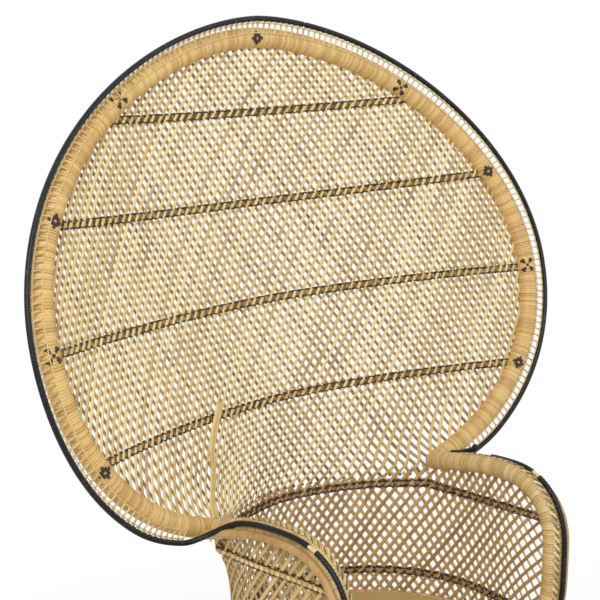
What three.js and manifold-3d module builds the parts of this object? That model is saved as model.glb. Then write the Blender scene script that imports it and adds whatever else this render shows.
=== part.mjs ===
// A wicker peacock chair: a round fan back and a bowl seat on a waisted base. Millimetres, Z up.
// The chair faces -Y. The model is built about the seat's axis line and ends with its base at Z = 0.
import * as THREE from "three";
import { mergeVertices } from "three/addons/utils/BufferGeometryUtils.js";
import Module from "manifold-3d";

const wasm = await Module();
wasm.setup();

// Clearances
const GAP = 0.3;
const CURVE_GAP = 0.8;
const FAN_BAND_GAP = 1.8;
const BOWL_UPPER_BAND_GAP = 4;
const BOWL_LOWER_BAND_GAP = 2.6;
const BASE_BAND_GAP = 1.2;
const OVERRUN = 40;

// Seat hoop and the axis that the seat and the base share
const SEAT_RADIUS = 240;
const SEAT_HEIGHT = 420;
const SEAT_HOOP_THICKNESS = 24;
const SEAT_AXIS_Y = -170;

// Fan ring: the pole that outlines the back, bound in cane
const FAN_HALF_WIDTH = 514;
const FAN_HALF_HEIGHT = 409;
const FAN_CENTRE_RISE = 582;
const FAN_SHOULDER_POWER = 1.15;
const FAN_LOBE_HEIGHT = 360;
const FAN_LOBE_POWER = 0.74;
const FAN_NECK_OUTSET = 14;
const RING_WRAP_THICKNESS = 34;
const RING_POLE_THICKNESS = 26;

// How far the ring stands behind the seat axis, how it sweeps back and forward with height,
// and how far the sheet inside it hollows behind it
const FAN_CENTRE_SETBACK = 152;
const FAN_LEAN = 89;
const FAN_CURL = 81;
const FAN_SWAY = 34;
const FAN_HOLLOW = 114;
const FAN_HOLLOW_ACROSS_POWER = 1.75;
const FAN_HOLLOW_RISE_POWER = 1.6;

// Arms: bound tubes from the neck, forward, and down to the seat hoop
const ARM_SPAN_INSET = 7;
const ARM_NECK_OUTSET = 2;
const ARM_NECK_SETBACK = 7;
const ARM_CREST_RISE = 32;
const ARM_NECK_DROP = 35;
const ARM_FRONT_DROP = 112;
const ARM_SHOULDER_POWER = 2.5;
const ARM_WRAP_THICKNESS = 32;
const ARM_POLE_THICKNESS = 22;
const ARM_CREST_ANGLE = 103;
const ARM_FRONT_ANGLE = 125;

// Rims: thin black canes round the fan and along the outside of the arms, and the bare arm pole.
// The fan's rim stands off the ring to the side, to the top and forward, and draws in at the neck.
const RIM_THICKNESS = 9;
const RIM_OFFSETS = [33, 32, 15];
const RIM_NECK_OFFSETS = [10, 10, 20];
const RIM_DRAW_ANGLE = 138;
const RIM_END_TURN = 7;
const RIM_JOINT_ANGLE = 13;
const RIM_JOINT_GAP = 4;
const RIM_KNOB_DIAMETER = 17;
const ARM_RIM_RISE = 32;
const ARM_RIM_UPPER_SHARES = [0.27, 0.43];
const ARM_RIM_LOWER_SHARES = [0.455, 0.93];
const ARM_RIM_LEFT_SHARE = 0.17;
const OUTER_POLE_THICKNESS = 13;
const OUTER_POLE_DROP = 10;

// Flange of cane loops between the fan ring and its rim
const LOOP_COUNT = 44;
const LOOP_WIDTH = 7;
const LOOP_THICKNESS = 3;
const LOOP_EDGE = 9;

// Lattices of split cane
const CANE_SHEET_THICKNESS = 6;
const CANE_CROSSING_SHARE = 0.24;
const FAN_CELL_WIDTH = 64;
const FAN_CELL_HEIGHT = 114;
const BOWL_COLUMNS = 19;
const BOWL_ROWS = 4;
const BASE_COLUMNS = 14;
const BASE_ROWS = 6;
const BOWL_TOP_DROP = 28;
const BOWL_BACK_TURN_SHARE = 0.7;
const NECK_CLEAR_SHARE = 0.6;

// Twined bands
const BAND_HEIGHT = 13;
const BAND_THICKNESS = 3;
const FAN_BAND_NAMES = ["low", "middle", "high", "crown"];
const FAN_BAND_SHARES = [-0.452, -0.044, 0.379, 0.72];
const FAN_BAND_SAGS = [3, 4, 17, 8];
const BOWL_UPPER_BAND_DROP = 16;
const BOWL_UPPER_BAND_SWEEP = 20;
const BOWL_LOWER_BAND_RISE = 51;
const BASE_BAND_NAMES = ["foot", "waist", "top"];
const BASE_BAND_SHARES = [0.13, 0.51, 0.87];

// Base: floor hoop, twisted legs, inner waist hoop
const FLOOR_RADIUS = 282;
const FLOOR_HOOP_THICKNESS = 28;
const FLOOR_FLAT_DEPTH = 2;
const BASE_TWIST = 80;
const LEG_COUNT = 4;
const LEG_DIAMETER = 20;
const LEG_TWIST = 84;
const WAIST_HOOP_THICKNESS = 16;
const WAIST_HEIGHT_SHARE = 0.46;

// Seat: woven panel on three rails
const RAIL_DIAMETER = 22;
const PANEL_THICKNESS = 10;
const PANEL_CROWN = 5;
const PANEL_EDGE_RADIUS_SHARE = 0.93;
const PANEL_SHOULDER_RADIUS_SHARE = 0.5;
const PANEL_SHOULDER_RISE_SHARE = 0.8;

// Facets
const TUBE_SIDES = 8;
const THIN_SIDES = 6;
const RING_STEPS = 46;
const ARM_STEPS = 12;
const HOOP_SEGMENTS = 40;
const FAN_BAND_STEPS = 16;

const radians = THREE.MathUtils.degToRad;

// The neck, where the ring ends beside the seat's radius, and what follows from it
const fanCentreHeight = SEAT_HEIGHT + FAN_CENTRE_RISE;
const neckShare = (SEAT_RADIUS + FAN_NECK_OUTSET) / FAN_HALF_WIDTH;
const neckAngle = 180 - THREE.MathUtils.radToDeg(Math.asin(neckShare ** (1 / FAN_LOBE_POWER)));
const rimEndAngle = neckAngle - RIM_END_TURN;
const neck = ringPoint(neckAngle);
const bowlTopHeight = neck.z - BOWL_TOP_DROP;
const armHeight = neck.z + ARM_CREST_RISE;
const armHalfSpan = SEAT_RADIUS - ARM_SPAN_INSET;
const armStart = new THREE.Vector2(neck.x + ARM_NECK_OUTSET, neck.y - SEAT_AXIS_Y + ARM_NECK_SETBACK);
const armStartAngle = THREE.MathUtils.radToDeg(Math.atan2(armStart.x, armStart.y));

// Geometry helpers

function indexed(geometry) {
  const bare = geometry.clone();
  bare.deleteAttribute("normal");
  bare.deleteAttribute("uv");
  const merged = mergeVertices(bare, 1e-3);
  return signedVolume(merged) < 0 ? flipped(merged) : merged;
}

function signedVolume(geometry) {
  const position = geometry.getAttribute("position");
  const index = geometry.getIndex();
  const [a, b, c] = [new THREE.Vector3(), new THREE.Vector3(), new THREE.Vector3()];
  let volume = 0;
  for (let k = 0; k < index.count; k += 3) {
    a.fromBufferAttribute(position, index.getX(k));
    b.fromBufferAttribute(position, index.getX(k + 1));
    c.fromBufferAttribute(position, index.getX(k + 2));
    volume += a.dot(b.cross(c)) / 6;
  }
  return volume;
}

function flipped(geometry) {
  const index = Array.from(geometry.getIndex().array);
  for (let k = 0; k < index.length; k += 3) {
    [index[k], index[k + 1]] = [index[k + 1], index[k]];
  }
  geometry.setIndex(index);
  return geometry;
}

function solid(geometry) {
  const mesh = indexed(geometry);
  const vertProperties = new Float32Array(mesh.getAttribute("position").array);
  const triVerts = new Uint32Array(mesh.getIndex().array);
  return new wasm.Manifold(new wasm.Mesh({ numProp: 3, vertProperties, triVerts }));
}

// The largest body of a solid, because a cut can leave a loose chip of cane at its edge
function geometryOf(body) {
  const parts = body.decompose().sort((a, b) => b.volume() - a.volume());
  const mesh = parts[0].getMesh();
  const geometry = new THREE.BufferGeometry();
  geometry.setAttribute("position", new THREE.BufferAttribute(new Float32Array(mesh.vertProperties), 3));
  geometry.setIndex(new THREE.BufferAttribute(new Uint32Array(mesh.triVerts), 1));
  return geometry;
}

function mirrored(geometry) {
  return indexed(geometry.clone().scale(-1, 1, 1));
}

// A round section as a polygon with a flat, not a corner, on each axis
function polygon(radius, sides) {
  const points = [];
  for (let k = 0; k < sides; k += 1) {
    const angle = (2 * Math.PI * (k + 0.5)) / sides;
    points.push(new THREE.Vector2(radius * Math.cos(angle), radius * Math.sin(angle)));
  }
  return points;
}

function tube(path, diameter, sides, steps, bore = 0) {
  const section = new THREE.Shape(polygon(diameter / 2, sides));
  if (bore > 0) {
    section.holes.push(new THREE.Path(polygon(bore / 2, THIN_SIDES)));
  }
  return new THREE.ExtrudeGeometry(section, { steps, extrudePath: path, bevelEnabled: false });
}

// A tube that bends only at the given points
function tubeThrough(points, diameter) {
  const path = new THREE.CatmullRomCurve3(points);
  path.getUtoTmapping = (share) => share;
  return tube(path, diameter, THIN_SIDES, points.length - 1);
}

// Half the width of a faceted round, measured across its flats
function flat(diameter, sides) {
  return (diameter / 2) * Math.cos(Math.PI / sides);
}

// The diameter of a faceted tube or bore whose flats stand a clearance outside those of another
function cleared(diameter, sides, clearance) {
  return diameter + (2 * clearance) / Math.cos(Math.PI / sides);
}

function turned(profile, segments) {
  const closed = [...profile, profile[0]];
  return new THREE.LatheGeometry(closed, segments).rotateX(Math.PI / 2).translate(0, SEAT_AXIS_Y, 0);
}

function hoop(radius, height, thickness, sides, segments) {
  const profile = polygon(thickness / 2, sides).map((p) => new THREE.Vector2(p.x + radius, p.y + height));
  return turned(profile, segments);
}

// A sheet built from quads of its face. place(u, v, side) gives the two skins: side 1 and side -1.
function sheet(quads, place) {
  const names = new Map();
  const corners = [];
  const number = (corner) => {
    const key = corner.key ?? corner.join();
    if (!names.has(key)) {
      names.set(key, corners.length);
      corners.push(corner);
    }
    return names.get(key);
  };
  const faces = quads.map((quad) => quad.map(number));
  const edges = new Set(faces.flatMap((face) => face.map((a, k) => `${a}-${face[(k + 1) % 4]}`)));
  const count = corners.length;
  const index = [];
  for (const face of faces) {
    const [a, b, c, d] = face;
    index.push(a, b, c, a, c, d);
    index.push(count + c, count + b, count + a, count + d, count + c, count + a);
    face.forEach((from, k) => {
      const to = face[(k + 1) % 4];
      if (!edges.has(`${to}-${from}`)) {
        index.push(to, from, count + from, to, count + from, count + to);
      }
    });
  }
  const points = [1, -1].flatMap((side) => corners.map(([u, v]) => place(u, v, side)));
  const geometry = new THREE.BufferGeometry().setFromPoints(points);
  geometry.setIndex(index);
  return geometry;
}

// Two families of canes that cross where i + j is even, and leave a diamond gap where it is odd
function latticeQuads(iRange, jRange, keep, period = 0) {
  const crossing = (i, j) => (i + j) % 2 === 0 && j >= jRange[0] && j <= jRange[1] && keep(i, j);
  const corner = (i, j, du, dv) => {
    const u = period ? (i + period) % period : i;
    const point = [u + du * CANE_CROSSING_SHARE, j + dv * CANE_CROSSING_SHARE];
    point.key = `${u},${j},${du},${dv}`;
    return point;
  };
  const quads = [];
  for (let i = iRange[0]; i <= iRange[1]; i += 1) {
    for (let j = jRange[0]; j <= jRange[1]; j += 1) {
      if (!crossing(i, j)) continue;
      const [east, north, west, south] = [
        corner(i, j, 1, 0),
        corner(i, j, 0, 1),
        corner(i, j, -1, 0),
        corner(i, j, 0, -1),
      ];
      quads.push([east, north, west, south]);
      if (crossing(i + 1, j + 1)) {
        quads.push([east, corner(i + 1, j + 1, 0, -1), corner(i + 1, j + 1, -1, 0), north]);
      }
      if (crossing(i - 1, j + 1)) {
        quads.push([north, corner(i - 1, j + 1, 1, 0), corner(i - 1, j + 1, 0, -1), west]);
      }
    }
  }
  return quads;
}

// A strip of quads along u, with two edges in v
function stripQuads(steps) {
  return Array.from({ length: steps }, (_, k) => [
    [k, 0],
    [k + 1, 0],
    [k + 1, 1],
    [k, 1],
  ]);
}

// Fan back: the ring's outline and the hollow sheet inside it

function ringSetback(share) {
  const sweep = FAN_LEAN * share + FAN_CURL * share ** 2 + FAN_SWAY * (share - share ** 3);
  return SEAT_AXIS_Y + FAN_CENTRE_SETBACK + sweep;
}

// The ring has full shoulders above its centre height and rounder lobes below it
function ringForm(rise) {
  return rise < 0 ? [FAN_LOBE_HEIGHT, FAN_LOBE_POWER] : [FAN_HALF_HEIGHT, FAN_SHOULDER_POWER];
}

function ringPoint(angle, side = 0, top = 0, forward = 0) {
  const share = Math.cos(radians(angle));
  const [height, power] = ringForm(share);
  const reach = Math.sign(angle) * Math.abs(Math.sin(radians(angle))) ** power;
  const setback = ringSetback((height * share) / FAN_HALF_HEIGHT);
  const z = fanCentreHeight + (height + top) * share;
  return new THREE.Vector3((FAN_HALF_WIDTH + side) * reach, setback - forward, z);
}

// Half the width of the ring at a height
function ringReach(z) {
  const [height, power] = ringForm(z - fanCentreHeight);
  const share = Math.min(Math.abs(z - fanCentreHeight) / height, 1);
  return FAN_HALF_WIDTH * (1 - share ** 2) ** (power / 2);
}

function fanSurface(x, z) {
  const share = THREE.MathUtils.clamp((z - fanCentreHeight) / FAN_HALF_HEIGHT, -1, 1);
  const reach = z < neck.z ? neck.x : ringReach(z);
  const across = Math.min(Math.abs(x) / Math.max(reach, GAP), 1);
  const depth = FAN_HOLLOW * (1 - Math.max(share, 0) ** FAN_HOLLOW_RISE_POWER);
  return ringSetback(share) + depth * (1 - across ** FAN_HOLLOW_ACROSS_POWER);
}

class RingCurve extends THREE.Curve {
  getPoint(t, target = new THREE.Vector3()) {
    return target.copy(ringPoint(THREE.MathUtils.lerp(-neckAngle, neckAngle, t)));
  }
}

const ringPath = new RingCurve();

// A block with the fan's outline, for cutting the sheets of the back and of the bowl to it
function fanBlock(grow, front) {
  const outline = [];
  for (let k = 0; k <= RING_STEPS; k += 1) {
    const point = ringPoint(THREE.MathUtils.lerp(-neckAngle, neckAngle, k / RING_STEPS), grow, grow);
    outline.push(new THREE.Vector2(point.x, point.z));
  }
  outline.push(new THREE.Vector2(neck.x + grow, bowlTopHeight - grow));
  outline.push(new THREE.Vector2(-neck.x - grow, bowlTopHeight - grow));
  const depth = FAN_HALF_WIDTH;
  const block = new THREE.ExtrudeGeometry(new THREE.Shape(outline), { depth, bevelEnabled: false });
  return solid(block.rotateX(Math.PI / 2).translate(0, front + depth, 0));
}

// Arms and the wall of the bowl

function armPoint(angle) {
  const inward = Math.max(90 - angle, 0) / (90 - armStartAngle);
  const x = THREE.MathUtils.lerp(armHalfSpan, armStart.x, inward ** 2);
  const y = SEAT_AXIS_Y + x / Math.tan(radians(angle));
  if (angle <= ARM_CREST_ANGLE) {
    const back = (ARM_CREST_ANGLE - angle) / (ARM_CREST_ANGLE - armStartAngle);
    return new THREE.Vector3(x, y, armHeight - ARM_NECK_DROP * back ** 2);
  }
  const forward = (angle - ARM_CREST_ANGLE) / (ARM_FRONT_ANGLE - ARM_CREST_ANGLE);
  const level = Math.max(1 - forward ** ARM_SHOULDER_POWER, 0) ** (1 / ARM_SHOULDER_POWER);
  return new THREE.Vector3(x, y, armHeight - ARM_FRONT_DROP * (1 - level));
}

function bowlTop(angle) {
  const turn = Math.abs(angle);
  const backTurn = armStartAngle * BOWL_BACK_TURN_SHARE;
  let point;
  if (turn >= armStartAngle) {
    point = armPoint(turn);
  } else {
    const x = SEAT_RADIUS * Math.sin(radians(Math.min(turn, backTurn)));
    point = new THREE.Vector3(x, fanSurface(x, bowlTopHeight), bowlTopHeight);
    const blend = THREE.MathUtils.clamp((turn - backTurn) / (armStartAngle - backTurn), 0, 1);
    point.lerp(armPoint(armStartAngle), blend);
  }
  point.x *= Math.sign(angle) || 1;
  return point;
}

// The bowl wall at an angle from the back and a share of its height; near the neck it flares late
function bowlWall(angle, rise, offset = 0) {
  const top = bowlTop(angle);
  const foot = new THREE.Vector2(Math.sin(radians(angle)), Math.cos(radians(angle)));
  foot.multiplyScalar(SEAT_RADIUS);
  const toFront = THREE.MathUtils.smoothstep(Math.abs(angle), armStartAngle, ARM_FRONT_ANGLE);
  const share = THREE.MathUtils.clamp(rise, 0, 1);
  const flare = THREE.MathUtils.lerp(share ** 4, 1 - (1 - share) ** 4, toFront);
  const plan = foot.lerp(new THREE.Vector2(top.x, top.y - SEAT_AXIS_Y), flare);
  plan.setLength(plan.length() + offset);
  return new THREE.Vector3(plan.x, plan.y + SEAT_AXIS_Y, THREE.MathUtils.lerp(SEAT_HEIGHT, top.z, rise));
}

class ArmCurve extends THREE.Curve {
  getPoint(t, target = new THREE.Vector3()) {
    const stretch = t * 3;
    if (stretch <= 1) {
      return target.copy(armPoint(THREE.MathUtils.lerp(armStartAngle, ARM_CREST_ANGLE, stretch)));
    }
    if (stretch <= 2) {
      const turn = Math.sin(((stretch - 1) * Math.PI) / 2);
      return target.copy(armPoint(THREE.MathUtils.lerp(ARM_CREST_ANGLE, ARM_FRONT_ANGLE, turn)));
    }
    return target.copy(bowlWall(ARM_FRONT_ANGLE, 3 - stretch));
  }
}

const armPath = new ArmCurve();

// A point beside the right arm: a distance from it, at an angle below the level outward line
function besideArm(along, distance, drop) {
  const tangent = armPath.getTangentAt(along);
  const point = armPath.getPointAt(along);
  const outward = new THREE.Vector3(point.x, point.y - SEAT_AXIS_Y, 0);
  outward.addScaledVector(tangent, -outward.dot(tangent)).normalize();
  const under = new THREE.Vector3().crossVectors(outward, tangent);
  point.addScaledVector(outward, distance * Math.cos(radians(drop)));
  return point.addScaledVector(under, distance * Math.sin(radians(drop)));
}

// Such points at the arm's own steps, so that a cane beside it bends where it bends
function stepsBesideArm(distance, drop, [from, to]) {
  const points = Array.from({ length: ARM_STEPS + 1 }, (_, k) => besideArm(k / ARM_STEPS, distance, drop));
  const pointAt = (along) => {
    const k = Math.min(Math.floor(along * ARM_STEPS), ARM_STEPS - 1);
    return points[k].clone().lerp(points[k + 1], along * ARM_STEPS - k);
  };
  const between = points.filter((_, k) => k / ARM_STEPS > from && k / ARM_STEPS < to);
  return [pointAt(from), ...between, pointAt(to)];
}

// The bare pole lies along the outside of the arm, and the arm's rim lies above that pole
const outerPoleDistance = (ARM_WRAP_THICKNESS + OUTER_POLE_THICKNESS) / 2 + CURVE_GAP;
const armRimDistance = (ARM_WRAP_THICKNESS + RIM_THICKNESS) / 2;

// Cutters that give the sheets and the butted ends their clearance

const ringBoreDiameter = cleared(RING_WRAP_THICKNESS, TUBE_SIDES, GAP);
const ringCutter = solid(tube(ringPath, ringBoreDiameter, TUBE_SIDES, RING_STEPS));
const rightArmTube = tube(armPath, cleared(ARM_WRAP_THICKNESS, TUBE_SIDES, GAP), TUBE_SIDES, ARM_STEPS);
const armCutters = solid(rightArmTube).add(solid(mirrored(rightArmTube)));
const seatHoopCutter = solid(
  hoop(SEAT_RADIUS, SEAT_HEIGHT, cleared(SEAT_HOOP_THICKNESS, TUBE_SIDES, GAP), TUBE_SIDES, HOOP_SEGMENTS),
);

// Balls round the ends of the ring and of the arms, where four pieces meet at each side of the neck
function neckCutters() {
  const ends = [-1, 1].flatMap((side) => {
    const arm = armPoint(armStartAngle);
    arm.x *= side;
    return [
      { end: ringPoint(side * neckAngle), thickness: RING_WRAP_THICKNESS },
      { end: arm, thickness: ARM_WRAP_THICKNESS },
    ];
  });
  const balls = ends.map(({ end, thickness }) => {
    const ball = new THREE.SphereGeometry(thickness * NECK_CLEAR_SHARE, TUBE_SIDES * 2, TUBE_SIDES);
    return solid(ball.translate(end.x, end.y, end.z));
  });
  return balls.reduce((a, b) => a.add(b));
}

const neckCutter = neckCutters();

// Pieces

function fanLattice() {
  const [halfWidth, halfHeight] = [FAN_CELL_WIDTH / 2, FAN_CELL_HEIGHT / 2];
  const columns = Math.ceil(FAN_HALF_WIDTH / halfWidth) + 1;
  const bottom = -Math.ceil((fanCentreHeight - bowlTopHeight) / halfHeight) - 1;
  const top = Math.ceil(FAN_HALF_HEIGHT / halfHeight) + 1;
  const keep = (i, j) => {
    const share = Math.abs(j * halfHeight) / (FAN_HALF_HEIGHT + FAN_CELL_HEIGHT);
    const reach = (FAN_HALF_WIDTH + FAN_CELL_WIDTH) * Math.sqrt(Math.max(1 - share ** 2, 0));
    return Math.abs(i * halfWidth) <= reach;
  };
  const place = (u, v, side) => {
    const [x, z] = [u * halfWidth, fanCentreHeight + v * halfHeight];
    return new THREE.Vector3(x, fanSurface(x, z) - (side * CANE_SHEET_THICKNESS) / 2, z);
  };
  const net = solid(sheet(latticeQuads([-columns, columns], [bottom, top], keep), place));
  const trimmed = net.intersect(fanBlock(0, SEAT_AXIS_Y)).subtract(armCutters);
  return geometryOf(trimmed.subtract(ringCutter).subtract(neckCutter));
}

function bowlLattice() {
  const place = (u, v, side) => {
    const angle = (u / BOWL_COLUMNS) * ARM_FRONT_ANGLE;
    return bowlWall(angle, v / BOWL_ROWS, (-side * CANE_SHEET_THICKNESS) / 2);
  };
  const keep = (i) => Math.abs(i) <= BOWL_COLUMNS;
  const quads = latticeQuads([-BOWL_COLUMNS, BOWL_COLUMNS], [0, BOWL_ROWS], keep);
  const net = solid(sheet(quads, place));
  const behindArms = armPoint(armStartAngle).y - OVERRUN;
  const trimmed = net.subtract(fanBlock(GAP, behindArms)).subtract(armCutters);
  return geometryOf(trimmed.subtract(seatHoopCutter).subtract(ringCutter).subtract(neckCutter));
}

// Radius of the waisted base at a share of its height: straight canes set at a twist draw it in
function baseRadius(share) {
  const [low, high] = [FLOOR_RADIUS * (1 - share), SEAT_RADIUS * share];
  return Math.sqrt(low ** 2 + high ** 2 + 2 * low * high * Math.cos(radians(BASE_TWIST)));
}

const floorHoopHeight = FLOOR_HOOP_THICKNESS / 2 - FLOOR_FLAT_DEPTH;

function baseHeight(share) {
  return THREE.MathUtils.lerp(floorHoopHeight, SEAT_HEIGHT, share);
}

function floorHoop() {
  const section = polygon(FLOOR_HOOP_THICKNESS / 2, TUBE_SIDES);
  const onFloor = (p) => new THREE.Vector2(p.x + FLOOR_RADIUS, Math.max(p.y + floorHoopHeight, 0));
  return turned(section.map(onFloor), HOOP_SEGMENTS);
}

function baseLattice() {
  const period = 2 * BASE_COLUMNS;
  const place = (u, v, side) => {
    const share = v / BASE_ROWS;
    const angle = (u / period) * 2 * Math.PI;
    const radius = baseRadius(share) - (side * CANE_SHEET_THICKNESS) / 2;
    return new THREE.Vector3(
      radius * Math.sin(angle),
      SEAT_AXIS_Y + radius * Math.cos(angle),
      baseHeight(share),
    );
  };
  const net = solid(sheet(latticeQuads([0, period - 1], [0, BASE_ROWS], () => true, period), place));
  const clearedFloor = cleared(FLOOR_HOOP_THICKNESS, TUBE_SIDES, GAP);
  const floorCutter = solid(hoop(FLOOR_RADIUS, floorHoopHeight, clearedFloor, TUBE_SIDES, HOOP_SEGMENTS));
  return geometryOf(net.subtract(seatHoopCutter).subtract(floorCutter));
}

function baseBand(heightShare) {
  const share = (z) => (z - floorHoopHeight) / (SEAT_HEIGHT - floorHoopHeight);
  const [low, high] = [-1, 1].map((side) => baseHeight(heightShare) + (side * BAND_HEIGHT) / 2);
  const segments = 2 * BASE_COLUMNS;
  const middle = (z) => baseRadius(share(z)) + CANE_SHEET_THICKNESS / 2 + BASE_BAND_GAP;
  const inner = (z) => middle(z) / Math.cos(Math.PI / segments);
  return turned(
    [
      new THREE.Vector2(inner(low), low),
      new THREE.Vector2(inner(low) + BAND_THICKNESS, low),
      new THREE.Vector2(inner(high) + BAND_THICKNESS, high),
      new THREE.Vector2(inner(high), high),
    ],
    segments,
  );
}

// A band across the fan, in front of its canes, that sags between its ends
function fanBand(heightShare, sag) {
  const height = fanCentreHeight + FAN_HALF_HEIGHT * heightShare;
  const reach = ringReach(height);
  const place = (u, v, side) => {
    const across = (2 * u) / FAN_BAND_STEPS - 1;
    const x = reach * across;
    const z = height - sag * (1 - across ** 2) + (v - 1 / 2) * BAND_HEIGHT;
    const middle = fanSurface(x, z) - CANE_SHEET_THICKNESS / 2 - FAN_BAND_GAP - BAND_THICKNESS / 2;
    return new THREE.Vector3(x, middle - (side * BAND_THICKNESS) / 2, z);
  };
  return geometryOf(solid(sheet(stripQuads(FAN_BAND_STEPS), place)).subtract(ringCutter));
}

function upperBandHeight(angle) {
  const sweep = (BOWL_UPPER_BAND_SWEEP * (1 - Math.cos(radians(angle)))) / 2;
  return bowlTopHeight - BOWL_UPPER_BAND_DROP + sweep;
}

// A band inside the bowl from arm to arm; its middle line lies at heightAt(angle)
function bowlBand(heightAt, gap) {
  const steps = 2 * BOWL_COLUMNS;
  const endAngle = ARM_FRONT_ANGLE - THREE.MathUtils.radToDeg(ARM_WRAP_THICKNESS / 2 / SEAT_RADIUS);
  const place = (u, v, side) => {
    const angle = ((2 * u) / steps - 1) * endAngle;
    const z = heightAt(angle) + (v - 1 / 2) * BAND_HEIGHT;
    const rise = (z - SEAT_HEIGHT) / (bowlTop(angle).z - SEAT_HEIGHT);
    const middle = CANE_SHEET_THICKNESS / 2 + gap + BAND_THICKNESS / 2;
    return bowlWall(angle, rise, -middle - (side * BAND_THICKNESS) / 2);
  };
  return geometryOf(solid(sheet(stripQuads(steps), place)).subtract(armCutters));
}

function ringWrap() {
  const bore = cleared(RING_POLE_THICKNESS, THIN_SIDES, GAP);
  return tube(ringPath, RING_WRAP_THICKNESS, TUBE_SIDES, RING_STEPS, bore);
}

function rimPoint(angle, share = 1, forward = 0) {
  const turn = (Math.abs(angle) - RIM_DRAW_ANGLE) / (neckAngle - RIM_DRAW_ANGLE);
  const draw = THREE.MathUtils.clamp(turn, 0, 1) ** 2;
  const offsets = RIM_OFFSETS.map((offset, k) => THREE.MathUtils.lerp(offset, RIM_NECK_OFFSETS[k], draw));
  const [side, top, front] = offsets.map((offset) => offset * share);
  return ringPoint(angle, side, top, front + forward);
}

const anglePerLoop = (2 * rimEndAngle) / LOOP_COUNT;

// Cane loops that stand on the ring like a row of teeth, joined by one cane along their outer edge.
// They lean out and forward from the ring to the rim.
function loopFlange() {
  const loopShare = LOOP_WIDTH / (radians(anglePerLoop) * FAN_HALF_WIDTH);
  const inner = RING_WRAP_THICKNESS / 2 + CURVE_GAP;
  const outer = RIM_THICKNESS / 2 + 3 * CURVE_GAP;
  const quads = [];
  for (let k = 0; k < LOOP_COUNT; k += 1) {
    const [from, to] = [k, k + loopShare];
    quads.push([[from, 1], [from, 0], [to, 0], [to, 1]]);
    quads.push([[from, 2], [from, 1], [to, 1], [to, 2]]);
    if (k < LOOP_COUNT - 1) {
      quads.push([[to, 2], [to, 1], [k + 1, 1], [k + 1, 2]]);
    }
  }
  const place = (u, v, side) => {
    const angle = -rimEndAngle + (u + (1 - loopShare) / 2) * anglePerLoop;
    const span = rimPoint(angle).distanceTo(ringPoint(angle));
    const row = [inner, span - LOOP_EDGE, span - outer][v];
    return rimPoint(angle, row / span, (side * LOOP_THICKNESS) / 2);
  };
  return sheet(quads, place);
}

const rimJointTurn = THREE.MathUtils.radToDeg(RIM_JOINT_GAP / FAN_HALF_WIDTH);

function rimSteps(from, to) {
  const steps = Math.round((to - from) / anglePerLoop);
  const angles = Array.from({ length: steps + 1 }, (_, k) => THREE.MathUtils.lerp(from, to, k / steps));
  return angles.map((angle) => rimPoint(angle));
}

function armRimSteps(shares) {
  return stepsBesideArm(armRimDistance, -ARM_RIM_RISE, shares);
}

// The left rim runs on past the neck and along the left arm
function leftRim() {
  const alongArm = armRimSteps([ARM_RIM_LEFT_SHARE, ARM_RIM_UPPER_SHARES[1]]);
  const fromFront = alongArm.reverse().map((point) => point.setX(-point.x));
  return tubeThrough([...fromFront, ...rimSteps(-rimEndAngle, RIM_JOINT_ANGLE)], RIM_THICKNESS);
}

const rightRimPoints = rimSteps(RIM_JOINT_ANGLE + rimJointTurn, rimEndAngle);

function rimKnob() {
  const [before, end] = rightRimPoints.slice(-2);
  const along = end.clone().sub(before).normalize();
  const centre = end.clone().addScaledVector(along, RIM_KNOB_DIAMETER / 2 + GAP);
  const ball = new THREE.SphereGeometry(RIM_KNOB_DIAMETER / 2, 2 * THIN_SIDES, TUBE_SIDES);
  return ball.translate(centre.x, centre.y, centre.z);
}

function armWrap() {
  const bore = cleared(ARM_POLE_THICKNESS, THIN_SIDES, GAP);
  const wrap = solid(tube(armPath, ARM_WRAP_THICKNESS, TUBE_SIDES, ARM_STEPS, bore));
  return geometryOf(wrap.subtract(ringCutter).subtract(seatHoopCutter));
}

function armPole() {
  const pole = solid(tube(armPath, ARM_POLE_THICKNESS, THIN_SIDES, ARM_STEPS));
  return geometryOf(pole.subtract(ringCutter).subtract(seatHoopCutter));
}

function outerPole() {
  const steps = stepsBesideArm(outerPoleDistance, OUTER_POLE_DROP, [0, 1]);
  const pole = solid(tubeThrough(steps, OUTER_POLE_THICKNESS));
  return geometryOf(pole.subtract(ringCutter).subtract(neckCutter).subtract(seatHoopCutter));
}

function polar(radius, angle, z) {
  return new THREE.Vector3(radius * Math.sin(angle), SEAT_AXIS_Y + radius * Math.cos(angle), z);
}

// The radius that is free inside a faceted hoop
function boreOf(radius, thickness) {
  return (radius - flat(thickness, TUBE_SIDES)) * Math.cos(Math.PI / HOOP_SEGMENTS);
}

const floorBore = boreOf(FLOOR_RADIUS, FLOOR_HOOP_THICKNESS);
const seatBore = boreOf(SEAT_RADIUS, SEAT_HOOP_THICKNESS);
const legFootRadius = floorBore - flat(LEG_DIAMETER, TUBE_SIDES) - GAP;
const legTopRadius = seatBore - flat(LEG_DIAMETER, TUBE_SIDES) - GAP;
const railHeight = SEAT_HEIGHT - SEAT_HOOP_THICKNESS / 2 + RAIL_DIAMETER / 2;
const panelBottom = railHeight + flat(RAIL_DIAMETER, TUBE_SIDES) + GAP;

function leg(number) {
  const turn = (2 * Math.PI * (number + 0.5)) / LEG_COUNT;
  const foot = polar(legFootRadius, turn - radians(LEG_TWIST), LEG_DIAMETER / 2);
  const head = polar(legTopRadius, turn, panelBottom - LEG_DIAMETER / 2);
  return tube(new THREE.LineCurve3(foot, head), LEG_DIAMETER, TUBE_SIDES, 1);
}

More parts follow.
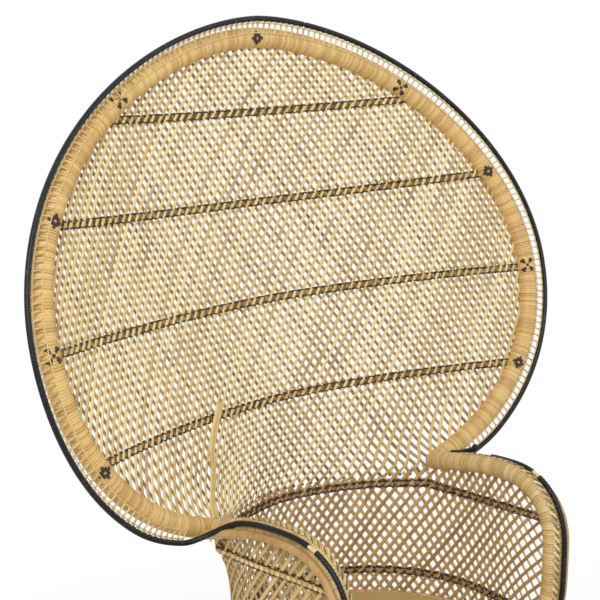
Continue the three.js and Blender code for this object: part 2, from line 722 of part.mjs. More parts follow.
function waistHoop() {
  const [low, high] = [legFootRadius * (1 - WAIST_HEIGHT_SHARE), legTopRadius * WAIST_HEIGHT_SHARE];
  const legRadius = Math.sqrt(low ** 2 + high ** 2 + 2 * low * high * Math.cos(radians(LEG_TWIST)));
  const inset = flat(LEG_DIAMETER, TUBE_SIDES) + flat(WAIST_HOOP_THICKNESS, THIN_SIDES) + 2 * CURVE_GAP;
  const radius = legRadius - inset;
  const height = THREE.MathUtils.lerp(LEG_DIAMETER / 2, panelBottom - LEG_DIAMETER / 2, WAIST_HEIGHT_SHARE);
  return hoop(radius, height, WAIST_HOOP_THICKNESS, THIN_SIDES, HOOP_SEGMENTS);
}

function longRail() {
  const reach = seatBore - GAP;
  const ends = [-reach, reach].map((x) => new THREE.Vector3(x, SEAT_AXIS_Y, railHeight));
  return tube(new THREE.LineCurve3(...ends), RAIL_DIAMETER, TUBE_SIDES, 1);
}

function shortRail(side) {
  const reach = seatBore - GAP;
  const start = flat(RAIL_DIAMETER, TUBE_SIDES) + GAP;
  const ends = [start, reach].map((y) => new THREE.Vector3(0, SEAT_AXIS_Y + side * y, railHeight));
  return tube(new THREE.LineCurve3(...ends), RAIL_DIAMETER, TUBE_SIDES, 1);
}

function seatPanel() {
  const radius = seatBore - GAP;
  const top = panelBottom + PANEL_THICKNESS;
  const profile = [
    new THREE.Vector2(0, panelBottom),
    new THREE.Vector2(radius, panelBottom),
    new THREE.Vector2(radius, panelBottom + PANEL_THICKNESS / 2),
    new THREE.Vector2(radius * PANEL_EDGE_RADIUS_SHARE, top),
    new THREE.Vector2(radius * PANEL_SHOULDER_RADIUS_SHARE, top + PANEL_CROWN * PANEL_SHOULDER_RISE_SHARE),
    new THREE.Vector2(0, top + PANEL_CROWN),
  ];
  const panel = new THREE.LatheGeometry(profile, HOOP_SEGMENTS);
  return panel.rotateX(Math.PI / 2).translate(0, SEAT_AXIS_Y, 0);
}

// Materials
const looks = {
  cane: new THREE.MeshStandardMaterial({ color: 0xd9b678, roughness: 0.55, metalness: 0 }),
  wrap: new THREE.MeshStandardMaterial({ color: 0xe2bd7c, roughness: 0.45, metalness: 0 }),
  pole: new THREE.MeshStandardMaterial({ color: 0xb98a4e, roughness: 0.6, metalness: 0 }),
  black: new THREE.MeshStandardMaterial({ color: 0x1d1a1a, roughness: 0.4, metalness: 0 }),
  band: new THREE.MeshStandardMaterial({ color: 0x3a2c20, roughness: 0.6, metalness: 0 }),
};

const chair = new THREE.Group();

function add(name, geometry, look) {
  const mesh = new THREE.Mesh(indexed(geometry), looks[look]);
  mesh.name = name;
  chair.add(mesh);
}

add("floor_hoop", floorHoop(), "wrap");
for (let number = 0; number < LEG_COUNT; number += 1) {
  add(`base_leg_${number + 1}`, leg(number), "pole");
}
add("waist_hoop", waistHoop(), "pole");
add("base_lattice", baseLattice(), "cane");
for (const [number, place] of BASE_BAND_NAMES.entries()) {
  add(`base_band_${place}`, baseBand(BASE_BAND_SHARES[number]), "band");
}
add("seat_hoop", hoop(SEAT_RADIUS, SEAT_HEIGHT, SEAT_HOOP_THICKNESS, TUBE_SIDES, HOOP_SEGMENTS), "wrap");
add("seat_rail_long", longRail(), "pole");
add("seat_rail_front", shortRail(-1), "pole");
add("seat_rail_back", shortRail(1), "pole");
add("seat_panel", seatPanel(), "cane");
add("bowl_lattice", bowlLattice(), "cane");
add("bowl_band_upper", bowlBand(upperBandHeight, BOWL_UPPER_BAND_GAP), "band");
add("bowl_band_lower", bowlBand(() => SEAT_HEIGHT + BOWL_LOWER_BAND_RISE, BOWL_LOWER_BAND_GAP), "band");
add("fan_lattice", fanLattice(), "cane");
for (const [number, place] of FAN_BAND_NAMES.entries()) {
  add(`fan_band_${place}`, fanBand(FAN_BAND_SHARES[number], FAN_BAND_SAGS[number]), "band");
}
add("fan_ring_pole", tube(ringPath, RING_POLE_THICKNESS, THIN_SIDES, RING_STEPS), "pole");
add("fan_ring_wrap", ringWrap(), "wrap");
add("fan_rim_loops", loopFlange(), "cane");
add("fan_rim_left", leftRim(), "black");
add("fan_rim_right", tubeThrough(rightRimPoints, RIM_THICKNESS), "black");
add("fan_rim_knob", rimKnob(), "black");

add("arm_rim_upper_right", tubeThrough(armRimSteps(ARM_RIM_UPPER_SHARES), RIM_THICKNESS), "black");

const rightSide = {
  arm_pole: [armPole(), "pole"],
  arm_wrap: [armWrap(), "wrap"],
  arm_outer_pole: [outerPole(), "pole"],
  arm_rim_lower: [tubeThrough(armRimSteps(ARM_RIM_LOWER_SHARES), RIM_THICKNESS), "black"],
};
for (const [name, [geometry, look]] of Object.entries(rightSide)) {
  add(`${name}_right`, geometry, look);
  add(`${name}_left`, mirrored(geometry), look);
}

// Stand the chair on Z = 0 with the middle of its plan at the origin
const bounds = new THREE.Box3().setFromObject(chair);
const middle = bounds.getCenter(new THREE.Vector3());
chair.position.set(-middle.x, -middle.y, -bounds.min.z);

export default chair;
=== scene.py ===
import math
import random

import bmesh
import bpy
from mathutils import Matrix, Vector


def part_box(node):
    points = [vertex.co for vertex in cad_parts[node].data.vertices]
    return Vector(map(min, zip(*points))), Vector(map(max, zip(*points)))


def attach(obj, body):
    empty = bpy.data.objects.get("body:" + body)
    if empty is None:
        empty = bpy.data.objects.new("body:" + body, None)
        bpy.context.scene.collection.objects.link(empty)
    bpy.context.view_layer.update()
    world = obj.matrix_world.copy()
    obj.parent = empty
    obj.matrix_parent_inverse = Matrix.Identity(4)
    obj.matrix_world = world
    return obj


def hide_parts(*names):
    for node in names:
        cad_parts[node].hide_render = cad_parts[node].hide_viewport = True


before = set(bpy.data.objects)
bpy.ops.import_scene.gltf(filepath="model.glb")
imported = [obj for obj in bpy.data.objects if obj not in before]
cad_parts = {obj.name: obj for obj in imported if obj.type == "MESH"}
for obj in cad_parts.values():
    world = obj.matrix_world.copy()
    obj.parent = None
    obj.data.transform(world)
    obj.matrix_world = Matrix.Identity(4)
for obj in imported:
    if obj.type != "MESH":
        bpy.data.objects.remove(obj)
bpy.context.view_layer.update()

# Camera, floor and light
# The chair stands on a plain pale floor in front of a white ground, under two large soft lamps.
# The camera looks down on its back and arms from the sitter's front right.
CAMERA_PLACE = (-1.552, -1.593, 1.498)
CAMERA_DOWN = 12.286
CAMERA_TURN = 41.254
CAMERA_LENS = 87.0
SENSOR_WIDTH = 36.0
LAMP_TARGET = Vector((0, 0, 0.9))
AMBIENT = 0.46
FLOOR_REACH = 9
FLOOR_GREY = 0.9
NEAR_GLOW = 0.65
WHITE_REACH = (0.5, 1.6)

lens = bpy.data.cameras.new("camera")
lens.lens = CAMERA_LENS
lens.sensor_width = SENSOR_WIDTH
camera = bpy.data.objects.new("camera", lens)
camera.location = CAMERA_PLACE
camera.rotation_euler = (math.radians(90 - CAMERA_DOWN), 0, -math.radians(CAMERA_TURN))
bpy.context.scene.collection.objects.link(camera)
bpy.context.scene.camera = camera
bpy.context.scene.view_settings.view_transform = "Standard"


def soft_lamp(name, place, size, power):
    lamp = bpy.data.lights.new(name, "AREA")
    lamp.shape = "DISK"
    lamp.size = size
    lamp.energy = power
    rig = bpy.data.objects.new(name, lamp)
    rig.location = place
    rig.rotation_euler = (LAMP_TARGET - Vector(place)).to_track_quat("-Z", "Y").to_euler()
    bpy.context.scene.collection.objects.link(rig)


soft_lamp("key_lamp", (-2.6, -2.2, 3.4), 1.6, 95)
soft_lamp("fill_lamp", (2.8, -2.4, 2.2), 2.6, 22)
soft_lamp("back_lamp", (0.6, 3.0, 2.8), 2.6, 26)


class Socket:
    """A shader socket. Sums on it add Math nodes, and node() adds any other node."""

    def __init__(self, tree, socket=None):
        self.tree = tree
        self.socket = socket

    def node(self, kind, settings, inputs, output=0):
        made = self.tree.nodes.new(kind)
        for name, value in settings.items():
            setattr(made, name, value)
        for name, value in inputs.items():
            if isinstance(value, Socket):
                self.tree.links.new(value.socket, made.inputs[name])
            else:
                made.inputs[name].default_value = value
        return Socket(self.tree, made.outputs[output])

    def sum(self, operation, a, b=0.0):
        return self.node("ShaderNodeMath", {"operation": operation}, {0: a, 1: b})

    def __add__(self, other):
        return self.sum("ADD", self, other)

    def __sub__(self, other):
        return self.sum("SUBTRACT", self, other)

    def __mul__(self, other):
        return self.sum("MULTIPLY", self, other)

    def __rsub__(self, other):
        return self.sum("SUBTRACT", other, self)

    __radd__ = __add__
    __rmul__ = __mul__

    def between(self, low, high):
        """0 where the value is low, 1 where it is high, and smooth between."""
        settings = {"interpolation_type": "SMOOTHSTEP"}
        return self.node("ShaderNodeMapRange", settings, {"Value": self, "From Min": low, "From Max": high})

    def tint(self, a, b):
        """Colour a where the value is 0 and b where it is 1."""
        colours = {6: a if isinstance(a, Socket) else (*a, 1), 7: b if isinstance(b, Socket) else (*b, 1)}
        return self.node("ShaderNodeMix", {"data_type": "RGBA"}, {0: self, **colours}, 2)


def new_finish(name):
    finish = bpy.data.materials.new(name)
    finish.use_nodes = True
    return finish, finish.node_tree.nodes["Principled BSDF"], Socket(finish.node_tree)


world = bpy.data.worlds.new("studio")
world.use_nodes = True
sky = Socket(world.node_tree)
seen = sky.node("ShaderNodeLightPath", {}, {}, "Is Camera Ray")
for ray in ("Is Glossy Ray", "Is Transmission Ray"):
    seen = sky.sum("MAXIMUM", seen, sky.node("ShaderNodeLightPath", {}, {}, ray))
world.node_tree.nodes["Background"].inputs["Color"].default_value = (1, 1, 1, 1)
strength = seen * (1 - AMBIENT) + AMBIENT
world.node_tree.links.new(strength.socket, world.node_tree.nodes["Background"].inputs["Strength"])
bpy.context.scene.world = world

stand = bmesh.new()
bmesh.ops.create_grid(stand, x_segments=1, y_segments=1, size=FLOOR_REACH)
floor_mesh = bpy.data.meshes.new("floor")
stand.to_mesh(floor_mesh)
floor = bpy.data.objects.new("floor", floor_mesh)
bpy.context.scene.collection.objects.link(floor)
paper, paper_shader, paper_start = new_finish("floor_paper")
paper_shader.inputs["Base Color"].default_value = (FLOOR_GREY, FLOOR_GREY, FLOOR_GREY, 1)
paper_shader.inputs["Roughness"].default_value = 0.9
glow = paper_start.node("ShaderNodeEmission", {}, {"Strength": 1.0})
straight = paper_start.node("ShaderNodeLightPath", {}, {}, "Is Camera Ray")
spot = paper_start.node("ShaderNodeTexCoord", {}, {}, "Object")
away = paper_start.node("ShaderNodeVectorMath", {"operation": "LENGTH"}, {0: spot}, 1).between(*WHITE_REACH)
share_lit = straight * (away * (1 - NEAR_GLOW) + NEAR_GLOW)
lit = paper_start.node("ShaderNodeMixShader", {}, {0: share_lit, 2: glow})
paper.node_tree.links.new(paper_shader.outputs[0], lit.socket.node.inputs[1])
paper.node_tree.links.new(lit.socket, paper.node_tree.nodes["Material Output"].inputs["Surface"])
floor_mesh.materials.append(paper)

# Fan ring
# A thick rattan pole bent to the outline of the back: wide round shoulders and a narrow neck. It is
# bound from end to end in narrow split cane, so that each turn stands as a low ridge.
SEAT_AXIS = -0.022
SEAT_RADIUS = 0.240
SEAT_HEIGHT = 0.420
FAN_HALF_WIDTH = 0.514
FAN_HALF_HEIGHT = 0.409
FAN_LOBE_HEIGHT = 0.360
FAN_CENTRE = 1.002
FAN_SHOULDER = 1.15
FAN_LOBE = 0.74
NECK_ANGLE = 157.31
RING_BACK = 0.152
RING_LEAN = 0.089
RING_CURL = 0.081
RING_BOW = 0.034
RING_THICKNESS = 0.034
BINDING_WIDTH = 0.0046
BINDING_SIDES = 14
BINDING_ROUGHNESS = 0.42
TURN_RIDGE = (0.992, 1.0, 0.992)
TURN_STEPS = 4
UNEVEN = 0.006
MEASURE_STEPS = 400
EVEN_STEPS = 2000


def ring_setback(share):
    """Where the ring lies from front to back, at a share of its height above its centre."""
    sweep = RING_LEAN * share + RING_CURL * share**2 + RING_BOW * (share - share**3)
    return SEAT_AXIS + RING_BACK + sweep


def ring_form(rise):
    """The ring has full shoulders above its centre and rounder lobes below it."""
    return (FAN_LOBE_HEIGHT, FAN_LOBE) if rise < 0 else (FAN_HALF_HEIGHT, FAN_SHOULDER)


def ring_point(angle, side=0.0, top=0.0, forward=0.0):
    """A point of the ring at an angle from its top, or of a larger ring set in front of it."""
    turn = math.radians(angle)
    share = math.cos(turn)
    height, power = ring_form(share)
    x = (FAN_HALF_WIDTH + side) * math.copysign(abs(math.sin(turn)) ** power, angle)
    y = ring_setback(height * share / FAN_HALF_HEIGHT) - forward
    return Vector((x, y, FAN_CENTRE + (height + top) * share))


def ring_reach(z):
    """Half the width of the ring at a height."""
    height, power = ring_form(z - FAN_CENTRE)
    share = min(abs(z - FAN_CENTRE) / height, 1)
    return FAN_HALF_WIDTH * (1 - share**2) ** (power / 2)


blanks = {}


def blank(sides, steps):
    """A straight length of cane, one thick and one long, cut across into steps."""
    if (sides, steps) not in blanks:
        bm = bmesh.new()
        bmesh.ops.create_cone(bm, cap_ends=True, segments=sides, radius1=0.5, radius2=0.5, depth=1)
        long_edges = [e for e in bm.edges if abs(e.verts[0].co.z - e.verts[1].co.z) > 0.5]
        bmesh.ops.subdivide_edges(bm, edges=long_edges, cuts=steps - 1)
        bmesh.ops.rotate(bm, verts=bm.verts, matrix=Matrix.Rotation(math.pi / sides, 3, "Z"))
        bmesh.ops.translate(bm, verts=bm.verts, vec=(0, 0, 0.5))
        blanks[sides, steps] = bpy.data.meshes.new("blank")
        bm.to_mesh(blanks[sides, steps])
    return blanks[sides, steps]


def lay(bm, line, outward, width, thickness, shade, sides=6, swell=None):
    """Bends a blank along a line of points. outward gives its upper side at each point."""
    layer = bm.verts.layers.float_vector.get("cane") or bm.verts.layers.float_vector.new("cane")
    steps = len(line) - 1
    middles, first = [], len(bm.verts)
    run = 0.0
    for k, point in enumerate(line):
        along = (line[min(k + 1, steps)] - line[max(k - 1, 0)]).normalized()
        out = outward[k] - along * along.dot(outward[k])
        out.normalize()
        run += (point - line[max(k - 1, 0)]).length
        middles.append((point, along.cross(out), out, run))
    bm.from_mesh(blank(sides, steps))
    bm.verts.ensure_lookup_table()
    for vert in bm.verts[first:]:
        across, up, share = vert.co
        k = round(share * steps)
        point, side, out, run = middles[k]
        size = swell(k) if swell else 1.0
        vert.co = point + side * (across * width * size) + out * (up * thickness * size)
        vert[layer] = (run, across * width, shade(k) if callable(shade) else shade)


def finished(name, bm, finish, slot, *nodes):
    """Turns a bmesh into a piece of the chair that stands for CAD nodes."""
    mesh = bpy.data.meshes.new(name)
    bm.to_mesh(mesh)
    bm.free()
    mesh.polygons.foreach_set("use_smooth", [True] * len(mesh.polygons))
    mesh.materials.append(finish)
    piece = bpy.data.objects.new(name, mesh)
    bpy.context.scene.collection.objects.link(piece)
    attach(piece, "root")
    if nodes:
        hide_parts(*nodes)
    return piece


def line_length(line):
    return sum((b - a).length for a, b in zip(line, line[1:]))


def bound(name, path, thickness, turn_width, sides, finish, slot, *nodes, groove=0.955):
    """A pole bound in cane: each turn is a low round ridge between two grooves."""
    luck = random.Random(name)
    fine = [path(k / MEASURE_STEPS) for k in range(MEASURE_STEPS + 1)]
    length = line_length(fine)
    turns = round(length / turn_width)
    line = even(path, turns * TURN_STEPS)
    middle = sum(fine, Vector()) / len(fine)
    outward = [(point - middle).normalized() for point in line]
    shades = [luck.random() for _ in range(turns + 1)]
    sizes = [1 + luck.uniform(-UNEVEN, UNEVEN) for _ in range(turns + 1)]
    ridge = (groove, *TURN_RIDGE)
    bm = bmesh.new()
    lay(
        bm, line, outward, thickness, thickness, lambda k: shades[(k + 1) // TURN_STEPS % len(shades)], sides,
        lambda k: ridge[k % TURN_STEPS] * sizes[k // TURN_STEPS],
    )
    layer = bm.verts.layers.float_vector["cane"]
    for vert in bm.verts:
        run, across, shade = vert[layer]
        vert[layer] = (run / length * turns, across, shade)
    return finished(name, bm, finish, slot, *nodes)


def even(path, steps):
    """Points at even distances along a path from 0 to 1."""
    fine = [path(k / EVEN_STEPS) for k in range(EVEN_STEPS + 1)]
    runs = [0.0]
    for a, b in zip(fine, fine[1:]):
        runs.append(runs[-1] + (b - a).length)
    points, k = [], 0
    for step in range(steps + 1):
        run = runs[-1] * step / steps
        while k < len(fine) - 2 and runs[k + 1] < run:
            k += 1
        share = (run - runs[k]) / (runs[k + 1] - runs[k])
        points.append(fine[k].lerp(fine[k + 1], min(share, 1.0)))
    return points


def cane_parts(start):
    """How far a point lies along its cane and across it, and the cane's own shade."""
    cane = start.node("ShaderNodeAttribute", {"attribute_name": "cane"}, {}, "Vector")
    parts = start.node("ShaderNodeSeparateXYZ", {}, {0: cane}).socket.node
    return [Socket(start.tree, parts.outputs[k]) for k in range(3)]


def coat(start, shader, colour, roughness, height, strength, distance):
    """Gives a shader its colour, its roughness and a fine relief."""
    start.tree.links.new(colour.socket, shader.inputs["Base Color"])
    start.tree.links.new(roughness.socket, shader.inputs["Roughness"])
    relief = {"Height": height, "Strength": strength, "Distance": distance}
    bump = start.node("ShaderNodeBump", {}, relief, "Normal")
    start.tree.links.new(bump.socket, shader.inputs["Normal"])


def binding_finish(name, pale, deep, groove, roughness):
    """Narrow cane wound side by side: each turn has its own tone, and the grooves are darkened, partly for
    dust and partly as painted shade.
    """
    finish, shader, start = new_finish(name)
    turn, _, shade = cane_parts(start)
    place = start.node("ShaderNodeTexCoord", {}, {}, "Object")
    patches = start.node("ShaderNodeTexNoise", {}, {"Vector": place, "Scale": 9.0, "Detail": 2.0})
    grain = start.node("ShaderNodeTexNoise", {}, {"Vector": place, "Scale": 420.0, "Detail": 3.0})
    within = start.sum("ABSOLUTE", start.sum("FRACT", turn) - 0.5) * 2.0
    tone = shade * 0.6 + patches * 0.8 + grain * 0.35 - 0.40
    colour = tone.between(0.1, 0.9).tint(pale, deep)
    # Darkens the colour towards the grooves between turns: partly dust, partly painted shade in the creases.
    colour = (within.between(0.66, 1.0) * (shade * 0.65 + 0.25)).tint(colour, groove)
    coat(start, shader, colour, grain * 0.25 + (roughness - 0.1), grain, 0.12, 0.0006)
    return finish


# The third colour is the grooves' dust and painted shade.
honey_binding = binding_finish(
    "honey_binding", (0.83, 0.57, 0.22), (0.62, 0.37, 0.12), (0.20, 0.09, 0.03), BINDING_ROUGHNESS
)
bound(
    "ring_binding", lambda t: ring_point((2 * t - 1) * NECK_ANGLE), RING_THICKNESS, BINDING_WIDTH,
    BINDING_SIDES, honey_binding, "wrapped_cane", "fan_ring_wrap",
)

# Fan canes
# Two layers of split cane cross at a slant: the front layer rises to the sitter's left and the
# back layer to the right. They are not interlaced: the ring's binding and the bands hold them.
# On one side canes of the front layer gather into a bundle that runs down to the neck.
CANE_WIDTH = 0.0060
CANE_THICKNESS = 0.0025
LAYER_DEPTH = 0.0015
FAN_HOLLOW = 0.114
BOWL_TOP = 0.642
REFERENCE_HEIGHT = 1.0
ROUTE_STEP = 0.004
RING_MARGIN = 0.006
CANE_SLOPE = 0.78
SIDE_SLOPE = 0.26
CROWN_SLOPE = 0.15
CROWN_RISE = (1.15, 1.37)
NECK_SLOPE = 0.5
NECK_RISE = (0.70, 0.86)
DRAWN_SLOPE = 0.26
DRAWN_REACH = (0.02, 0.2)
DRAWN_RISE = (0.80, 0.98)
CANE_PITCH = 0.0176
SIDE_PITCH_LOSS = 0.0056
CANE_STRAY = 0.0012
STARTS_REACH = 0.75
CROWDING = 0.0018
WIDTH_RANGE = (0.9, 1.1)
BUNDLE_CANES = 4
BUNDLE_CANE_WIDTH = 0.0042
BUNDLE_SPACING = 0.0034
BUNDLE_LIFT = 0.0022
BUNDLE_TOP = 0.765
BUNDLE_TIP = 0.07
BUNDLE_REACH = 0.189
BUNDLE_FOOT_REACH = 0.030
BUNDLE_FOOT_RISE = (0.665, 0.72)

neck = ring_point(NECK_ANGLE)


def fan_surface(x, z):
    """Where the woven back lies from front to back: it hollows towards its middle."""
    share = max(min((z - FAN_CENTRE) / FAN_HALF_HEIGHT, 1), -1)
    reach = neck.x if z < neck.z else ring_reach(z)
    across = min(abs(x) / max(reach, 0.001), 1)
    depth = FAN_HOLLOW * (1 - max(share, 0) ** 1.6)
    return ring_setback(share) + depth * (1 - across**1.75)


def fan_point(x, z, back=0.0):
    return Vector((x, fan_surface(x, z) + back, z))


def fan_outward(x, z):
    step = 0.002
    slope_x = (fan_surface(x + step, z) - fan_surface(x - step, z)) / (2 * step)
    slope_z = (fan_surface(x, z + step) - fan_surface(x, z - step)) / (2 * step)
    return Vector((slope_x, -1, slope_z)).normalized()


def smooth(value, low, high):
    share = max(min((value - low) / (high - low), 1), 0)
    return share * share * (3 - 2 * share)


def cane_slope(x, z, side):
    """How far a cane moves sideways for each metre that it rises. The bundle draws the front canes in."""
    slope = CANE_SLOPE - SIDE_SLOPE * (abs(x) / FAN_HALF_WIDTH) ** 1.5 + CROWN_SLOPE * smooth(z, *CROWN_RISE)
    slope -= NECK_SLOPE * abs(x) * (1 - smooth(z, *NECK_RISE))
    if side > 0:
        slope -= DRAWN_SLOPE * smooth(-x, *DRAWN_REACH) * (1 - smooth(z, *DRAWN_RISE))
    return side * slope


def inside_ring(x, z, margin):
    return abs(x) < (neck.x if z < neck.z else ring_reach(z)) - margin


def cane_route(x, side):
    """The places (x, z) that a cane passes, from its lowest to its highest."""
    route = [(x, REFERENCE_HEIGHT)]
    z = REFERENCE_HEIGHT
    while z > BOWL_TOP:
        x -= cane_slope(x, z, side) * ROUTE_STEP
        z -= ROUTE_STEP
        route.insert(0, (x, z))
    x, z = route[-1]
    while z < FAN_CENTRE + FAN_HALF_HEIGHT:
        x += cane_slope(x, z, side) * ROUTE_STEP
        z += ROUTE_STEP
        route.append((x, z))
    return route


def cane_starts(luck, side):
    """Where the canes pass the reference height: closer together towards the sides."""
    starts = []
    for way in (-1, 1):
        x = 0.0 if way > 0 else CANE_PITCH
        crowd = CROWDING if side < 0 and way < 0 else 0.0
        while x < STARTS_REACH:
            starts.append(way * x + luck.uniform(-CANE_STRAY, CANE_STRAY))
            x += CANE_PITCH - SIDE_PITCH_LOSS * min((x / FAN_HALF_WIDTH) ** 1.7, 1)
            x -= crowd * smooth(x, 0.05, 0.2) * (1 - smooth(x, 0.3, 0.5))
    return starts


def bundle_reach(z):
    """How far from the middle the bundle of gathered canes stands at a height above the neck."""
    return BUNDLE_REACH + 0.05 * max(0.81 - z, 0) + BUNDLE_FOOT_REACH * (1 - smooth(z, *BUNDLE_FOOT_RISE))


def gathered(route, side):
    """Cuts a route where the cane joins the bundle that runs down to the neck."""
    at_top = next((x for x, z in route if z >= BUNDLE_TOP), 0)
    if side < 0 or at_top < -bundle_reach(BUNDLE_TOP):
        return route
    return [(x, z) for x, z in route if z > BUNDLE_TOP or x > -bundle_reach(z)]


def cane_finish(name, pale, deep, knots):
    """Split cane: each strip has its own tone, fine grain runs along it, and knots darken it."""
    finish, shader, start = new_finish(name)
    run, across, shade = cane_parts(start)
    fibre = start.node("ShaderNodeCombineXYZ", {}, {0: run * 28.0, 1: across * 1400.0, 2: shade * 91.0})
    grain = start.node("ShaderNodeTexNoise", {}, {"Vector": fibre, "Scale": 1.0, "Detail": 3.0})
    length = start.node("ShaderNodeCombineXYZ", {}, {0: run * 5.0, 1: shade * 37.0})
    patches = start.node("ShaderNodeTexNoise", {}, {"Vector": length, "Scale": 1.0, "Detail": 2.0})
    marks = start.node("ShaderNodeCombineXYZ", {}, {0: run * 9.0, 1: shade * 53.0})
    knot = start.node("ShaderNodeTexNoise", {}, {"Vector": marks, "Scale": 1.0, "Detail": 0.0})
    tone = shade * 0.7 + patches * 0.7 + grain * 0.5 - 0.5
    colour = tone.between(0.05, 0.95).tint(pale, deep)
    colour = (knot.between(0.68, 0.74) * 0.5).tint(colour, knots)
    coat(start, shader, colour, grain * 0.3 + 0.38, grain, 0.25, 0.0004)
    return finish


straw_cane = cane_finish("straw_cane", (0.87, 0.68, 0.32), (0.62, 0.43, 0.15), (0.3, 0.18, 0.08))
# The brown cane for layers that lie behind another: partly a browner cane, and darkened further as painted
# shade for the shadow of the layer in front.
brown_cane = cane_finish("brown_cane", (0.56, 0.38, 0.14), (0.30, 0.18, 0.06), (0.16, 0.08, 0.03))


def bundle_route(apart):
    """The places that a cane of the bundle passes: up from the neck, and then back to its slant."""
    steps = int((BUNDLE_TOP - neck.z) / ROUTE_STEP)
    rises = [neck.z + 0.002 + step * ROUTE_STEP for step in range(steps)]
    route = [(apart - bundle_reach(z), z) for z in rises]
    x, z = route[-1]
    while z < BUNDLE_TOP + BUNDLE_TIP:
        slant = smooth(z, BUNDLE_TOP - 0.02, BUNDLE_TOP + 0.03)
        x, z = x + cane_slope(x, z, 1) * ROUTE_STEP * slant, z + ROUTE_STEP
        route.append((x, z))
    return route


def fan_layer(name, side, depth, finish, nodes):
    luck = random.Random(name)
    bm = bmesh.new()
    routes = [gathered(cane_route(x, side), side) for x in cane_starts(luck, side)]
    widths = [CANE_WIDTH * luck.uniform(*WIDTH_RANGE) for _ in routes]
    loose_canes = len(routes)
    if side > 0:
        routes += [bundle_route((k - (BUNDLE_CANES - 1) / 2) * BUNDLE_SPACING) for k in range(BUNDLE_CANES)]
        widths += [BUNDLE_CANE_WIDTH] * BUNDLE_CANES
    for k, (route, width) in enumerate(zip(routes, widths)):
        loose = k < loose_canes
        route = [place for place in route if inside_ring(*place, RING_MARGIN if loose else -RING_MARGIN)]
        if len(route) < 6:
            continue
        steps = max(len(route) // 3, 3)
        picked = [route[round(step * (len(route) - 1) / steps)] for step in range(steps + 1)]
        outward = [fan_outward(*place) for place in picked]
        above = depth + (0 if loose else BUNDLE_LIFT)
        line = [fan_point(*place) + out * above for place, out in zip(picked, outward)]
        lay(bm, line, outward, width, CANE_THICKNESS, luck.random(), 8)
    return finished(name, bm, finish, "woven_cane", *nodes)


fan_layer("fan_front_canes", 1, LAYER_DEPTH, straw_cane, ["fan_lattice"])
# The back layer's dark brown is partly painted shade cast by the front layer.
fan_layer("fan_back_canes", -1, -LAYER_DEPTH, brown_cane, [])

# Fan bands
# Four bands cross the back. Each has two rows of dark strands that twist about each other between
# the canes, so each shows as a dash over every crossing, and a flat rod lies behind the canes.
DASH_LENGTH = 0.0125
ROW_SPACING = 0.0105
STRAND_DEPTH = 0.0036
STRAND_LIFT = 0.0010
STRAND_WIDTH = 0.0023
STRAND_THICKNESS = 0.0019
DASH_STEPS = 6
ROD_WIDTH = 0.0088
ROD_THICKNESS = 0.0016
ROD_DEPTH = 0.0036
BAND_MARGIN = 0.008
FAN_BANDS = {
    "low": (-0.452, 0.003), "middle": (-0.044, 0.004), "high": (0.379, 0.017), "crown": (0.72, 0.008),
}


def twined_row(bm, path, outward_at, luck):
    """Two strands that pass before and behind the canes by turns along a path."""
    dashes = max(round(line_length([path(k / 60) for k in range(61)]) / DASH_LENGTH), 1)
    middles = even(path, dashes * DASH_STEPS)
    for phase in (0, math.pi):
        line, outward = [], []
        for k, middle in enumerate(middles):
            turn = math.pi * k / DASH_STEPS + phase
            out = outward_at(middle)
            up = Vector((0, 0, 1)) - out * out.z
            line.append(middle + out * (STRAND_DEPTH * math.cos(turn)) - up * (STRAND_LIFT * math.sin(turn)))
            outward.append(out)
        lay(bm, line, outward, STRAND_WIDTH, STRAND_THICKNESS, luck.random(), 6)


def strand_finish(name, dark, worn):
    """Dyed strands: nearly black, with brown where the dye has worn off the high places."""
    finish, shader, start = new_finish(name)
    run, across, shade = cane_parts(start)
    fibre = start.node("ShaderNodeCombineXYZ", {}, {0: run * 60.0, 1: across * 1500.0, 2: shade * 91.0})
    grain = start.node("ShaderNodeTexNoise", {}, {"Vector": fibre, "Scale": 1.0, "Detail": 4.0})
    colour = grain.between(0.45, 0.78).tint(dark, worn)
    coat(start, shader, colour, grain * 0.4 + 0.3, grain, 0.3, 0.0003)
    return finish


dark_strand = strand_finish("dark_strand", (0.022, 0.014, 0.010), (0.13, 0.07, 0.04))
rod_cane = cane_finish("rod_cane", (0.54, 0.34, 0.12), (0.30, 0.165, 0.055), (0.08, 0.04, 0.02))

for place, (share, sag) in FAN_BANDS.items():
    luck = random.Random(place)
    bm = bmesh.new()
    height = FAN_CENTRE + FAN_HALF_HEIGHT * share
    reach = ring_reach(height) - BAND_MARGIN
    for row in (-0.5, 0.5):
        def row_path(t, row=row, height=height, reach=reach, sag=sag):
            x = reach * (2 * t - 1)
            return fan_point(x, height - sag * (1 - (x / reach) ** 2) + row * ROW_SPACING)

        twined_row(bm, row_path, lambda point: fan_outward(point.x, point.z), luck)
    finished(f"fan_twining_{place}", bm, dark_strand, "twined_band", f"fan_band_{place}")
    bm = bmesh.new()
    spots = [reach * (k / 40 - 1) for k in range(81)]
    line = [fan_point(x, height - sag * (1 - (x / reach) ** 2)) for x in spots]
    outward = [fan_outward(point.x, point.z) for point in line]
    line = [point - out * ROD_DEPTH for point, out in zip(line, outward)]
    lay(bm, line, outward, ROD_WIDTH, ROD_THICKNESS, luck.random(), 6)
    finished(f"fan_rod_{place}", bm, rod_cane, "woven_cane")

